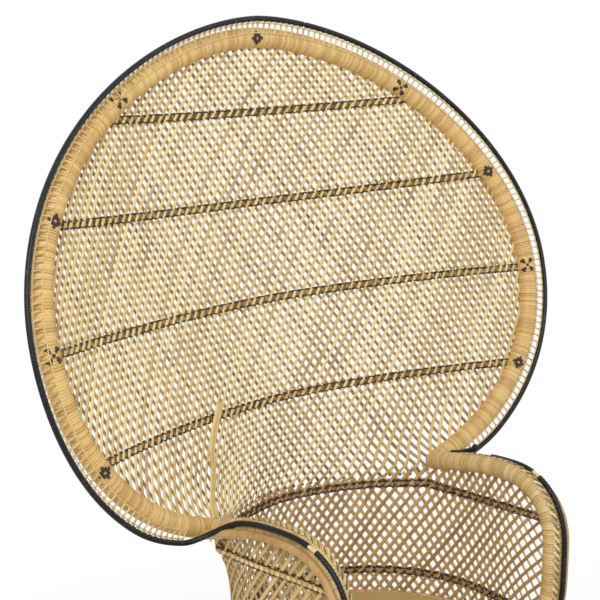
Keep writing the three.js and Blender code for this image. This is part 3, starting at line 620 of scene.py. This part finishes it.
# Motifs
# Where the bands end, and at the top of the ring, dark strands pass under and over the turns of the
# binding. The squares that show make a flower round a pale middle, or a cross.
MOTIF_CELL = 0.0046
MOTIF_LEAN = 35.0
MOTIF_THICKNESS = 0.0016
MOTIF_CROWN = 0.0009
MOTIF_SINK = 0.0002
FLOWER = [(i, j) for i in range(-2, 3) for j in range(-2, 3) if 0 < abs(i) + abs(j) < 3]
CROSS_ARM = ((1.25, 1.15), (2.1, 1.5), (1.7, 2.2))
CROSS = [(0, 0)] + [(i * a, j * b) for a, b in CROSS_ARM for i in (-1, 1) for j in (-1, 1)]
MOTIFS = [(0, FLOWER)] + [
    (side * angle, cells)
    for side in (-1, 1) for angle, cells in ((39, CROSS), (67, FLOWER), (92.5, CROSS), (121.5, FLOWER))
]

luck = random.Random("motifs")
bm = bmesh.new()
for angle, cells in MOTIFS:
    along = (ring_point(angle + 0.2) - ring_point(angle - 0.2)).normalized()
    lean = math.radians(MOTIF_LEAN if angle > -50 else MOTIF_LEAN / 4)
    front = Vector((-math.sin(lean), -math.cos(lean), 0.1 if abs(angle) > 10 else 0.0))
    front = (front - along * front.dot(along)).normalized()
    for i, j in cells:
        turn = 2 * j * MOTIF_CELL / RING_THICKNESS
        out = front * math.cos(turn) + along.cross(front) * math.sin(turn)
        line = []
        for k in range(-2, 3):
            lift = RING_THICKNESS / 2 + MOTIF_CROWN * (1 - (k / 2) ** 2) - MOTIF_SINK
            line.append(ring_point(angle) + along * (MOTIF_CELL * (i + k / 4)) + out * lift)
        lay(bm, line, [out] * 5, MOTIF_CELL * 1.05, MOTIF_THICKNESS, luck.random(), 6)
finished("ring_motifs", bm, dark_strand, "twined_band")

# Flange and rim
# Thin loops of cane stand side by side on the ring's outer front. Two strands tie them, at the feet
# and near the tops, and they carry a rim bound in black cane that has one joint near the top.
RIM_THICKNESS = 0.009
RIM_OFFSETS = (0.033, 0.032, 0.015)
RIM_NECK_OFFSETS = (0.010, 0.010, 0.020)
RIM_DRAW_ANGLE = 138.0
RIM_END = NECK_ANGLE - 7
RIM_LAP = 13.0
RIM_GAP = 0.45
RIM_TURN = 0.0042
RIM_SIDES = 8
LOOP_PITCH = 0.0122
LOOP_WIDTH = 0.0042
LOOP_THICKNESS = 0.0012
LOOP_FOOT = 0.0105
LOOP_TOP = 0.86
LOOP_SHAPE = [
    (0.30, 0.37), (0.10, 0.42), (0.04, 0.50), (0.04, 0.70), (0.12, 0.81), (0.32, 0.86),
    (0.68, 0.86), (0.88, 0.81), (0.96, 0.70), (0.96, 0.50), (0.90, 0.42), (0.70, 0.37),
]
TIE_SHARES = (0.41, 0.80)
TIE_LIFT = 0.002
TIE_WIDTH = 0.0020
TIE_THICKNESS = 0.0016


def rim_point(angle, share=1.0):
    """A point of the rim, or at a share of the way to it. The rim draws in towards the neck."""
    draw = max(abs(angle) - RIM_DRAW_ANGLE, 0) / (NECK_ANGLE - RIM_DRAW_ANGLE)
    offsets = [a + (b - a) * min(draw, 1) ** 2 for a, b in zip(RIM_OFFSETS, RIM_NECK_OFFSETS)]
    return ring_point(angle, *[offset * share for offset in offsets])


def flange_outward(angle):
    along = rim_point(angle + 0.2) - rim_point(angle - 0.2)
    return along.cross(rim_point(angle) - ring_point(angle)).normalized()


def flange_lift(out):
    """How far in front of the straight way from ring to rim the loops stand."""
    return LOOP_FOOT * (LOOP_TOP - out) / 0.54


luck = random.Random("loops")
bm = bmesh.new()
rim_line = even(lambda t: rim_point((2 * t - 1) * RIM_END), 2000)
loops = round(line_length(rim_line) / LOOP_PITCH)
angle = -RIM_END
angles = []
for _ in range(loops + 1):
    angles.append(angle)
    here = rim_point(angle)
    angle += LOOP_PITCH / max((rim_point(angle + 0.5) - here).length / 0.5, 0.0001)
    if angle > RIM_END:
        break
for start_angle, end_angle in zip(angles, angles[1:]):
    span = end_angle - start_angle
    front = flange_outward(start_angle)
    line = [
        rim_point(start_angle + span * along, out) + front * flange_lift(out) for along, out in LOOP_SHAPE
    ]
    outward = [(line[min(k + 1, 11)] - line[max(k - 1, 0)]).cross(front).normalized() for k in range(12)]
    lay(bm, line, outward, LOOP_WIDTH, LOOP_THICKNESS, luck.random(), 6)
fronts = [flange_outward(angle) for angle in angles]
for out in TIE_SHARES:
    lift = flange_lift(out) + TIE_LIFT
    line = [rim_point(angle, out) + front * lift for angle, front in zip(angles, fronts)]
    lay(bm, line, fronts, TIE_WIDTH, TIE_THICKNESS, luck.random(), 6)
finished("flange_loops", bm, straw_cane, "woven_cane", "fan_rim_loops")


def black_finish(name):
    """Cane dyed black and wound close: satin, with a little wear on the crowns."""
    finish, shader, start = new_finish(name)
    shade = cane_parts(start)[2]
    place = start.node("ShaderNodeTexCoord", {}, {}, "Object")
    wear = start.node("ShaderNodeTexNoise", {}, {"Vector": place, "Scale": 160.0, "Detail": 4.0})
    colour = (wear * 0.8 + shade * 0.25).between(0.58, 0.85).tint((0.007, 0.007, 0.009), (0.07, 0.065, 0.065))
    shader.inputs["Specular IOR Level"].default_value = 0.3
    coat(start, shader, colour, wear * 0.3 + 0.28, wear, 0.2, 0.0004)
    return finish


black_binding = black_finish("black_binding")
bound(
    "rim_right", lambda t: rim_point(RIM_LAP + RIM_GAP + t * (RIM_END - RIM_LAP - RIM_GAP)),
    RIM_THICKNESS, RIM_TURN, RIM_SIDES, black_binding, "black_cane", "fan_rim_right",
)

# Arms
# Each arm is a rattan pole bound in cane that leaves the neck of the back, runs forward and turns
# down to the seat. Slanting stitches tie a rim bound in black along its outer top, and a bare pole
# runs below. One end of the fan's rim runs on along its arm; the other ends in a wound knot.
ARM_THICKNESS = 0.032
ARM_SPAN = 0.233
ARM_SET_OUT = 0.002
ARM_SET_BACK = 0.007
ARM_LIFT = 0.032
ARM_DIP = 0.035
ARM_NOSE = 0.112
ARM_CREST = 103.0
ARM_FRONT = 125.0
ARM_STEPS = 400
BOWL_BACK_SHARE = 0.7
ARM_RIM_RISE = 32.0
LOWER_RIM_SHARES = (0.455, 0.93)
UPPER_RIM_SHARES = (0.27, 0.43)
FAN_RIM_SHARES = (0.43, 0.17)
CORE_SHARES = (0.42, 0.465)
CORE_THICKNESS = 0.0062
BEAD_TURN = 0.0065
BEAD_GROOVE = 0.84
OUTER_POLE_THICKNESS = 0.013
OUTER_POLE_DROP = 10.0
OUTER_POLE_GAP = 0.0008
POLE_STEPS = 90
POLE_SIDES = 14
JOINT_SPACING = 0.21
STITCH_FROM = 0.17
STITCH_SPAN = 0.76
STITCH_PITCH = 0.0125
STITCH_SLANT = 0.0022
STITCH_LIFT = 0.0006
STITCH_THICKNESS = 0.0014
STITCHES = ((0, 0.0052, -98, -66), (0.5, 0.0013, -88, -62))
BRIDGE_STEPS = 20
TAIL_SHARES = (0.09, 0.20)
KNOT_RISE = 0.011
KNOT_RADIUS = 0.0046
KNOT_WIDTH = 0.0048
KNOT_THICKNESS = 0.0030
KNOT_TILTS = (20, 80, 140)

arm_start = Vector((neck.x + ARM_SET_OUT, neck.y - SEAT_AXIS + ARM_SET_BACK))
arm_start_angle = math.degrees(math.atan2(arm_start.x, arm_start.y))
arm_height = neck.z + ARM_LIFT


def arm_point(angle):
    """A point of the arm's level part, at an angle about the seat's axis from the back."""
    inward = max(90 - angle, 0) / (90 - arm_start_angle)
    x = ARM_SPAN + (arm_start.x - ARM_SPAN) * inward**2
    y = SEAT_AXIS + x / math.tan(math.radians(angle))
    if angle <= ARM_CREST:
        back = (ARM_CREST - angle) / (ARM_CREST - arm_start_angle)
        return Vector((x, y, arm_height - ARM_DIP * back**2))
    ahead = (angle - ARM_CREST) / (ARM_FRONT - ARM_CREST)
    return Vector((x, y, arm_height - ARM_NOSE * (1 - max(1 - ahead**2.5, 0) ** 0.4)))


def bowl_top(angle):
    """The upper edge of the bowl's wall: the foot of the fan behind, and the arms at the sides."""
    turn = abs(angle)
    back_turn = arm_start_angle * BOWL_BACK_SHARE
    if turn >= arm_start_angle:
        point = arm_point(turn)
    else:
        x = SEAT_RADIUS * math.sin(math.radians(min(turn, back_turn)))
        point = fan_point(x, BOWL_TOP)
        blend = max((turn - back_turn) / (arm_start_angle - back_turn), 0)
        point = point.lerp(arm_point(arm_start_angle), blend)
    point.x = math.copysign(point.x, angle)
    return point


def bowl_wall(angle, rise, offset=0.0):
    """A point of the bowl's wall: rise is 0 at the seat hoop and 1 at the upper edge."""
    top = bowl_top(angle)
    foot = Vector((math.sin(math.radians(angle)), math.cos(math.radians(angle)))) * SEAT_RADIUS
    to_front = smooth(abs(angle), arm_start_angle, ARM_FRONT)
    share = max(min(rise, 1), 0)
    flare = share**4 * (1 - to_front) + (1 - (1 - share) ** 4) * to_front
    plan = foot.lerp(Vector((top.x, top.y - SEAT_AXIS)), flare)
    plan *= (plan.length + offset) / plan.length
    return Vector((plan.x, plan.y + SEAT_AXIS, SEAT_HEIGHT + (top.z - SEAT_HEIGHT) * rise))


def arm_path(t):
    """The arm from the neck to the seat hoop: its level part, its bend and its upright front."""
    stretch = t * 3
    if stretch <= 1:
        return arm_point(arm_start_angle + (ARM_CREST - arm_start_angle) * stretch)
    if stretch <= 2:
        return arm_point(ARM_CREST + (ARM_FRONT - ARM_CREST) * math.sin((stretch - 1) * math.pi / 2))
    return bowl_wall(ARM_FRONT, 3 - stretch)


arm_line = even(arm_path, ARM_STEPS)
arm_length = line_length(arm_line)


def beside_arm(t, distance, tilt):
    """A point at a distance from the arm's middle line, tilted down from straight outward."""
    k = min(max(round(t * ARM_STEPS), 1), ARM_STEPS - 1)
    point = arm_line[k - 1].lerp(arm_line[k + 1], 0.5 + (t * ARM_STEPS - k) / 2)
    along = (arm_line[k + 1] - arm_line[k - 1]).normalized()
    outward = Vector((point.x, point.y - SEAT_AXIS, 0))
    outward = (outward - along * outward.dot(along)).normalized()
    lean = math.radians(tilt)
    return point + outward * (distance * math.cos(lean)) + outward.cross(along) * (distance * math.sin(lean))


def mirrored(point, side):
    return Vector((point.x * side, point.y, point.z))


def other_side(path, side):
    """The same path on the sitter's left for side 1, and on the right for side -1."""
    return lambda t: mirrored(path(t), side)


# The third colour is the grooves' dust and painted shade.
pale_binding = binding_finish(
    "pale_binding", (0.78, 0.59, 0.28), (0.60, 0.41, 0.16), (0.22, 0.12, 0.04), BINDING_ROUGHNESS
)


def pole_finish(name, pale, deep):
    """Peeled rattan pole: fine streaks along it and a darker ring at each joint of the vine."""
    finish, shader, start = new_finish(name)
    place = start.node("ShaderNodeTexCoord", {}, {}, "Object")
    stretched = start.node("ShaderNodeMapping", {}, {"Vector": place, "Scale": (90, 90, 6)})
    streaks = start.node("ShaderNodeTexNoise", {}, {"Vector": stretched, "Scale": 1.0, "Detail": 4.0})
    patches = start.node("ShaderNodeTexNoise", {}, {"Vector": place, "Scale": 14.0, "Detail": 2.0})
    colour = (streaks * 0.7 + patches * 0.6 - 0.15).between(0.2, 0.8).tint(pale, deep)
    joints = start.node("ShaderNodeTexNoise", {}, {"Vector": place, "Scale": 7.0, "Detail": 0.0})
    colour = (joints.between(0.70, 0.74) * 0.5).tint(colour, (0.2, 0.1, 0.04))
    coat(start, shader, colour, streaks * 0.3 + 0.3, streaks, 0.2, 0.0004)
    return finish


bare_rattan = pole_finish("bare_rattan", (0.60, 0.38, 0.15), (0.40, 0.21, 0.07))


def clothe(node, finish):
    """Gives a CAD node that stays in view its finish."""
    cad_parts[node].data.materials.clear()
    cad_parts[node].data.materials.append(finish)


def pole(name, path, thickness, steps, *nodes):
    """A bare pole, a little thicker at the joints of the vine."""
    luck = random.Random(name)
    line = even(path, steps)
    middle = sum(line, Vector()) / len(line)
    outward = [(point - middle).normalized() for point in line]
    joint = luck.random()
    length = line_length(line)
    bm = bmesh.new()
    lay(
        bm, line, outward, thickness * 0.97, thickness * 0.97, joint, POLE_SIDES,
        lambda k: 1 + 0.05 * max(1 - abs((k / steps * length / JOINT_SPACING + joint) % 1 - 0.5) * 30, 0),
    )
    return finished(name, bm, bare_rattan, "bare_pole", *nodes)


def arm_rim(low, high):
    """The rim's path beside the arm, between two shares of the arm's length."""
    return lambda t: beside_arm(low + (high - low) * t, (ARM_THICKNESS + RIM_THICKNESS) / 2, -ARM_RIM_RISE)


def joined(first, second):
    """One path that runs along two lines of points and bridges the space between them."""
    start, end = first[-1], second[0]
    reach = (end - start).length
    leave = (first[-1] - first[-2]).normalized() * reach
    arrive = (second[1] - second[0]).normalized() * reach
    bridge = []
    for k in range(1, BRIDGE_STEPS):
        t = k / BRIDGE_STEPS
        bridge.append(
            start * (2 * t**3 - 3 * t**2 + 1) + leave * (t**3 - 2 * t**2 + t)
            + end * (3 * t**2 - 2 * t**3) + arrive * (t**3 - t**2)
        )
    line = first + bridge + second

    def path(t):
        k = min(int(t * (len(line) - 1)), len(line) - 2)
        return line[k].lerp(line[k + 1], t * (len(line) - 1) - k)

    return path


outer_distance = (ARM_THICKNESS + OUTER_POLE_THICKNESS) / 2 + OUTER_POLE_GAP


def outer_pole(t):
    return beside_arm(0.03 + 0.95 * t, outer_distance, OUTER_POLE_DROP)


for hand, side in (("right", 1), ("left", -1)):
    bound(
        f"arm_binding_{hand}", other_side(arm_path, side), ARM_THICKNESS, BINDING_WIDTH, BINDING_SIDES,
        pale_binding, "wrapped_cane", f"arm_wrap_{hand}",
    )
    bound(
        f"arm_rim_lower_{hand}_binding", other_side(arm_rim(*LOWER_RIM_SHARES), side),
        RIM_THICKNESS, BEAD_TURN, RIM_SIDES, black_binding, "black_cane", f"arm_rim_lower_{hand}",
        groove=BEAD_GROOVE,
    )
    pole(
        f"outer_pole_{hand}", other_side(outer_pole, side), OUTER_POLE_THICKNESS, POLE_STEPS,
        f"arm_outer_pole_{hand}",
    )
    clothe(f"arm_pole_{hand}", bare_rattan)
    luck = random.Random(f"stitches_{hand}")
    pale, dark = bmesh.new(), bmesh.new()
    stitches = round(arm_length * STITCH_SPAN / STITCH_PITCH)
    for k in range(stitches):
        start = STITCH_FROM + STITCH_SPAN * k / stitches
        middle = mirrored(beside_arm(start, 0, 0), side)
        for bm, (late, width, low, high) in zip((pale, dark), STITCHES):
            line = []
            for step in range(6):
                t = start + (late * STITCH_PITCH + step * STITCH_SLANT) / arm_length
                distance = ARM_THICKNESS / 2 + STITCH_LIFT + STITCH_LIFT * late
                line.append(mirrored(beside_arm(t, distance, low + (high - low) * step / 5), side))
            outward = [(point - middle).normalized() for point in line]
            lay(bm, line, outward, width, STITCH_THICKNESS, luck.random())
    core = [other_side(arm_rim(*CORE_SHARES), side)(k / 6) for k in range(7)]
    lay(pale, core, [Vector((0, 0, 1))] * 7, CORE_THICKNESS, CORE_THICKNESS, 0.2, 8)
    finished(f"arm_stitches_{hand}", pale, straw_cane, "woven_cane")
    finished(f"arm_lacing_{hand}", dark, dark_strand, "twined_band")
bound(
    "arm_rim_upper_right_binding", arm_rim(*UPPER_RIM_SHARES), RIM_THICKNESS, BEAD_TURN, RIM_SIDES,
    black_binding, "black_cane", "arm_rim_upper_right", groove=BEAD_GROOVE,
)
along_arm = [other_side(arm_rim(*FAN_RIM_SHARES), -1)(k / 200) for k in range(201)]
round_fan = [rim_point(-RIM_END + k / 1000 * (RIM_END + RIM_LAP)) for k in range(1001)]
bound(
    "rim_left", joined(along_arm, round_fan), RIM_THICKNESS, RIM_TURN, RIM_SIDES, black_binding, "black_cane",
    "fan_rim_left",
)
rim_end = [rim_point(RIM_END - 0.6), rim_point(RIM_END)]
tail = [arm_rim(*TAIL_SHARES)(k / 20) + Vector((0, 0, KNOT_RISE * (k / 20) ** 2)) for k in range(21)]
bound("rim_tail", joined(rim_end, tail), RIM_THICKNESS, RIM_TURN, RIM_SIDES, black_binding, "black_cane")
luck = random.Random("knot")
bm = bmesh.new()
knot = tail[-1] + Vector((0, 0, 0.001))
for tilt in KNOT_TILTS:
    turned = Matrix.Rotation(math.radians(tilt), 3, "X") @ Matrix.Rotation(math.radians(tilt * 2), 3, "Z")
    around = [turned @ Vector((math.cos(math.pi * k / 8), math.sin(math.pi * k / 8), 0)) for k in range(17)]
    line = [knot + spoke * KNOT_RADIUS for spoke in around]
    lay(bm, line, around, KNOT_WIDTH, KNOT_THICKNESS, luck.random(), 8)
finished("rim_knot", bm, black_binding, "black_cane")
clothe("fan_ring_pole", bare_rattan)
clothe("fan_rim_knob", black_binding)

# Bowl
# The canes of the back carry on down to the seat hoop, and more of them close the sides under
# the arms. Two bands bind them: rows of dark twining inside and out, with a flat rod behind the
# inner rows and a chain of pale pads between the outer ones.
BOWL_CANES = 145
BOWL_PITCH = 4.2
BOWL_STRAY = 0.35
BOWL_STEP = 0.006
BOWL_TURN_RATE = 0.75
BOWL_WIDTH_RANGE = (1.0, 1.2)
BAND_END_ANGLE = 3.5
OUTER_ROW_SPACING = 0.0082
PAD_STEPS = 4
PAD_SWELL = (0.6, 1, 1, 0.6)
PAD_WIDTH = 0.0072
PAD_THICKNESS = 0.0026
PAD_DEPTH = 0.0052
PAD_TURN = 2.6
UPPER_BAND_DROP = 0.016
UPPER_BAND_RISE = 0.010
LOWER_BAND_LIFT = 0.051


def level_out(point):
    """The level way out from the seat's axis."""
    return Vector((point.x, point.y - SEAT_AXIS, 0)).normalized()


def level_in(point):
    return -level_out(point)


def bowl_layer(name, side, depth, finish, nodes):
    luck = random.Random(name)
    bm = bmesh.new()
    start = -(BOWL_CANES // 2) * BOWL_PITCH
    for k in range(BOWL_CANES):
        middle = start + k * BOWL_PITCH + luck.uniform(-BOWL_STRAY, BOWL_STRAY)
        route, z = [], SEAT_HEIGHT
        while z < arm_height + 0.002:
            angle = middle + side * math.degrees((z - BOWL_TOP) * BOWL_TURN_RATE / SEAT_RADIUS)
            if abs(angle) < ARM_FRONT:
                top = bowl_top(angle).z
                if z <= top:
                    route.append((angle, (z - SEAT_HEIGHT) / (top - SEAT_HEIGHT)))
            z += BOWL_STEP
        if len(route) < 4:
            continue
        line = [bowl_wall(angle, rise, depth) for angle, rise in route]
        width = CANE_WIDTH * luck.uniform(*BOWL_WIDTH_RANGE)
        lay(bm, line, [level_in(point) for point in line], width, CANE_THICKNESS, luck.random(), 8)
    return finished(name, bm, finish, "woven_cane", *nodes)


# The inner layer is tan and the outer layer olive straw: the tan is partly a browner cane and partly painted
# shade for the shaded inside of the bowl.
tan_cane = cane_finish("tan_cane", (0.58, 0.37, 0.145), (0.36, 0.205, 0.075), (0.16, 0.08, 0.03))
olive_cane = cane_finish("olive_cane", (0.72, 0.54, 0.24), (0.50, 0.35, 0.13), (0.2, 0.12, 0.05))
bowl_layer("bowl_front_canes", 1, -LAYER_DEPTH, tan_cane, ["bowl_lattice"])
bowl_layer("bowl_back_canes", -1, LAYER_DEPTH, olive_cane, [])


def bowl_band(name, height_at, node):
    luck = random.Random(name)
    ends = ARM_FRONT - BAND_END_ANGLE

    def band_point(t, above=0.0, offset=0.0):
        angle = ends * (2 * t - 1)
        rise = (height_at(angle) + above - SEAT_HEIGHT) / (bowl_top(angle).z - SEAT_HEIGHT)
        return bowl_wall(angle, rise, offset)

    bm = bmesh.new()
    for row in (-0.5, 0.5):
        twined_row(bm, lambda t, row=row: band_point(t, row * ROW_SPACING), level_in, luck)
        twined_row(bm, lambda t, row=row: band_point(t, row * OUTER_ROW_SPACING), level_out, luck)
    finished(name, bm, dark_strand, "twined_band", node)
    bm = bmesh.new()
    line = [band_point(k / 120, 0.0, ROD_DEPTH) for k in range(121)]
    lay(bm, line, [level_in(point) for point in line], ROD_WIDTH, ROD_THICKNESS, luck.random(), 6)
    finished(f"{name}_rod", bm, rod_cane, "woven_cane")
    bm = bmesh.new()
    line = even(lambda t: band_point(t, 0.0, PAD_DEPTH), round(2 * ends / PAD_TURN) * PAD_STEPS)
    for k in range(0, len(line) - PAD_STEPS, PAD_STEPS):
        pad = line[k:k + PAD_STEPS]
        out = [level_out(point) for point in pad]
        lay(bm, pad, out, PAD_WIDTH, PAD_THICKNESS, luck.random(), 8, lambda step: PAD_SWELL[step])
    finished(f"{name}_pads", bm, straw_cane, "woven_cane")


def upper_band_height(angle):
    return BOWL_TOP - UPPER_BAND_DROP + UPPER_BAND_RISE * (1 - math.cos(math.radians(angle)))


bowl_band("bowl_twining_upper", upper_band_height, "bowl_band_upper")
bowl_band("bowl_twining_lower", lambda angle: SEAT_HEIGHT + LOWER_BAND_LIFT, "bowl_band_lower")

# Seat
# A hoop bound in cane carries a seat woven of flat cane over three rattan rails.
# The seat is slightly crowned and its strips run over and under each other in pairs.
SEAT_HOOP_THICKNESS = 0.024
HOOP_TURN = 0.0055
HOOP_SIDES = 10
PANEL_MARGIN = 0.004
SEAT_SINK = 0.0022
SEAT_CROWN = 0.006
SEAT_STRIP = 0.0105
STRIP_THICKNESS = 0.0012
STRIP_WAVE = 0.0011


def circle(radius, height):
    def path(t):
        turn = 2 * math.pi * t
        return Vector((radius * math.sin(turn), SEAT_AXIS + radius * math.cos(turn), height))

    return path


bound(
    "seat_hoop_binding", circle(SEAT_RADIUS, SEAT_HEIGHT), SEAT_HOOP_THICKNESS, HOOP_TURN, HOOP_SIDES,
    honey_binding, "wrapped_cane", "seat_hoop",
)
for node in ("seat_rail_long", "seat_rail_front", "seat_rail_back"):
    clothe(node, bare_rattan)

panel_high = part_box("seat_panel")[1]
panel_reach = panel_high[0] - PANEL_MARGIN


def seat_height_at(x, y):
    share = min(math.hypot(x, y - SEAT_AXIS) / panel_reach, 1)
    return panel_high[2] - SEAT_SINK - SEAT_CROWN * share**2.2


bm = bmesh.new()
luck = random.Random("seat")
count = int(panel_reach / SEAT_STRIP)
for way in (0, 1):
    for k in range(-count, count + 1):
        off = k * SEAT_STRIP
        reach = math.sqrt(max(panel_reach**2 - off**2, 0))
        steps = max(int(2 * reach / (SEAT_STRIP / 2)), 4)
        line = []
        for step in range(steps + 1):
            s = reach * (2 * step / steps - 1)
            x, y = (s, off) if way else (off, s)
            wave = STRIP_WAVE * math.cos(math.pi * (s / SEAT_STRIP / 2 + k / 2 + way))
            line.append(Vector((x, SEAT_AXIS + y, seat_height_at(x, SEAT_AXIS + y) + wave)))
        outward = [Vector((0, 0, 1))] * len(line)
        lay(bm, line, outward, SEAT_STRIP * 0.9, STRIP_THICKNESS, luck.random(), 6)
finished("seat_weave", bm, straw_cane, "woven_cane")
# The panel under the weave wears the brown cane, which is partly painted shade.
clothe("seat_panel", brown_cane)

# Base
# Straight canes lean both ways from the seat hoop to a bound hoop on the floor, so that the base
# draws in like a waist. Four rattan legs and an inner hoop hold it, and three bands bind it.
FLOOR_RADIUS = 0.282
FLOOR_HOOP_THICKNESS = 0.0276
FLOOR_HOOP_MIDDLE = 0.0140
CANE_FOOT = 0.012
BASE_TWIST = 80.0
BASE_CANES = 68
BASE_STRAY = 0.4
BASE_STEPS = 24
BASE_BANDS = {"foot": 0.13, "waist": 0.51, "top": 0.87}
LEG_THICKNESS = 0.020
LEG_TWIST = 84.0
LEG_FOOT_INSET = 0.0240
LEG_HEAD_INSET = 0.0216
LEG_FOOT_HEIGHT = 0.010
LEG_HEAD_DROP = 0.004
INNER_HOOP_THICKNESS = 0.016


def base_radius(share):
    """How far a straight cane passes from the axis at a share of the base's height."""
    low, high = FLOOR_RADIUS * (1 - share), SEAT_RADIUS * share
    return math.sqrt(low**2 + high**2 + 2 * low * high * math.cos(math.radians(BASE_TWIST)))


def base_point(angle, share, offset=0.0):
    radius = base_radius(share) + offset
    turn = math.radians(angle)
    z = CANE_FOOT + (SEAT_HEIGHT - CANE_FOOT) * share
    return Vector((radius * math.sin(turn), SEAT_AXIS + radius * math.cos(turn), z))


def base_turn(share):
    """How far a straight cane has turned about the axis at a share of the base's height."""
    low, high = FLOOR_RADIUS * (1 - share), SEAT_RADIUS * share
    twist = math.radians(BASE_TWIST)
    return math.degrees(math.atan2(high * math.sin(twist), low + high * math.cos(twist)))


# The inner layer wears the brown cane, which is partly painted shade for the outer layer's shadow.
for name, side, depth, finish, nodes in (
    ("base_outer_canes", 1, LAYER_DEPTH, straw_cane, ["base_lattice"]),
    ("base_inner_canes", -1, -LAYER_DEPTH, brown_cane, []),
):
    luck = random.Random(name)
    bm = bmesh.new()
    for k in range(BASE_CANES):
        start = 360 * k / BASE_CANES + luck.uniform(-BASE_STRAY, BASE_STRAY)
        shares = [step / BASE_STEPS for step in range(BASE_STEPS + 1)]
        line = [base_point(start + side * base_turn(share), share, depth) for share in shares]
        width = CANE_WIDTH * luck.uniform(*WIDTH_RANGE)
        lay(bm, line, [level_out(point) for point in line], width, CANE_THICKNESS, luck.random(), 8)
    finished(name, bm, finish, "woven_cane", *nodes)

for place, share in BASE_BANDS.items():
    luck = random.Random(place)
    bm = bmesh.new()
    for row in (-0.5, 0.5):
        at = share + row * ROW_SPACING / (SEAT_HEIGHT - CANE_FOOT)
        twined_row(bm, lambda t, at=at: base_point(360 * t, at), level_out, luck)
    finished(f"base_twining_{place}", bm, dark_strand, "twined_band", f"base_band_{place}")
bound(
    "floor_hoop_binding", circle(FLOOR_RADIUS, FLOOR_HOOP_MIDDLE), FLOOR_HOOP_THICKNESS, HOOP_TURN,
    HOOP_SIDES, honey_binding, "wrapped_cane", "floor_hoop",
)
for number in range(1, 5):
    turn = 2 * math.pi * (number - 0.5) / 4
    foot_turn = turn - math.radians(LEG_TWIST)
    foot_radius = FLOOR_RADIUS - LEG_FOOT_INSET
    head_radius = SEAT_RADIUS - LEG_HEAD_INSET
    head_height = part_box(f"base_leg_{number}")[1][2] - LEG_HEAD_DROP
    foot = Vector(
        (foot_radius * math.sin(foot_turn), SEAT_AXIS + foot_radius * math.cos(foot_turn), LEG_FOOT_HEIGHT)
    )
    head = Vector((head_radius * math.sin(turn), SEAT_AXIS + head_radius * math.cos(turn), head_height))
    pole(f"leg_{number}", lambda t, a=foot, b=head: a.lerp(b, t), LEG_THICKNESS, 24, f"base_leg_{number}")
hoop_low, hoop_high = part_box("waist_hoop")
hoop_radius = (hoop_high[0] - hoop_low[0]) / 2 - INNER_HOOP_THICKNESS / 2
hoop_height = (hoop_low[2] + hoop_high[2]) / 2
pole("inner_hoop", circle(hoop_radius, hoop_height), INNER_HOOP_THICKNESS, POLE_STEPS, "waist_hoop")
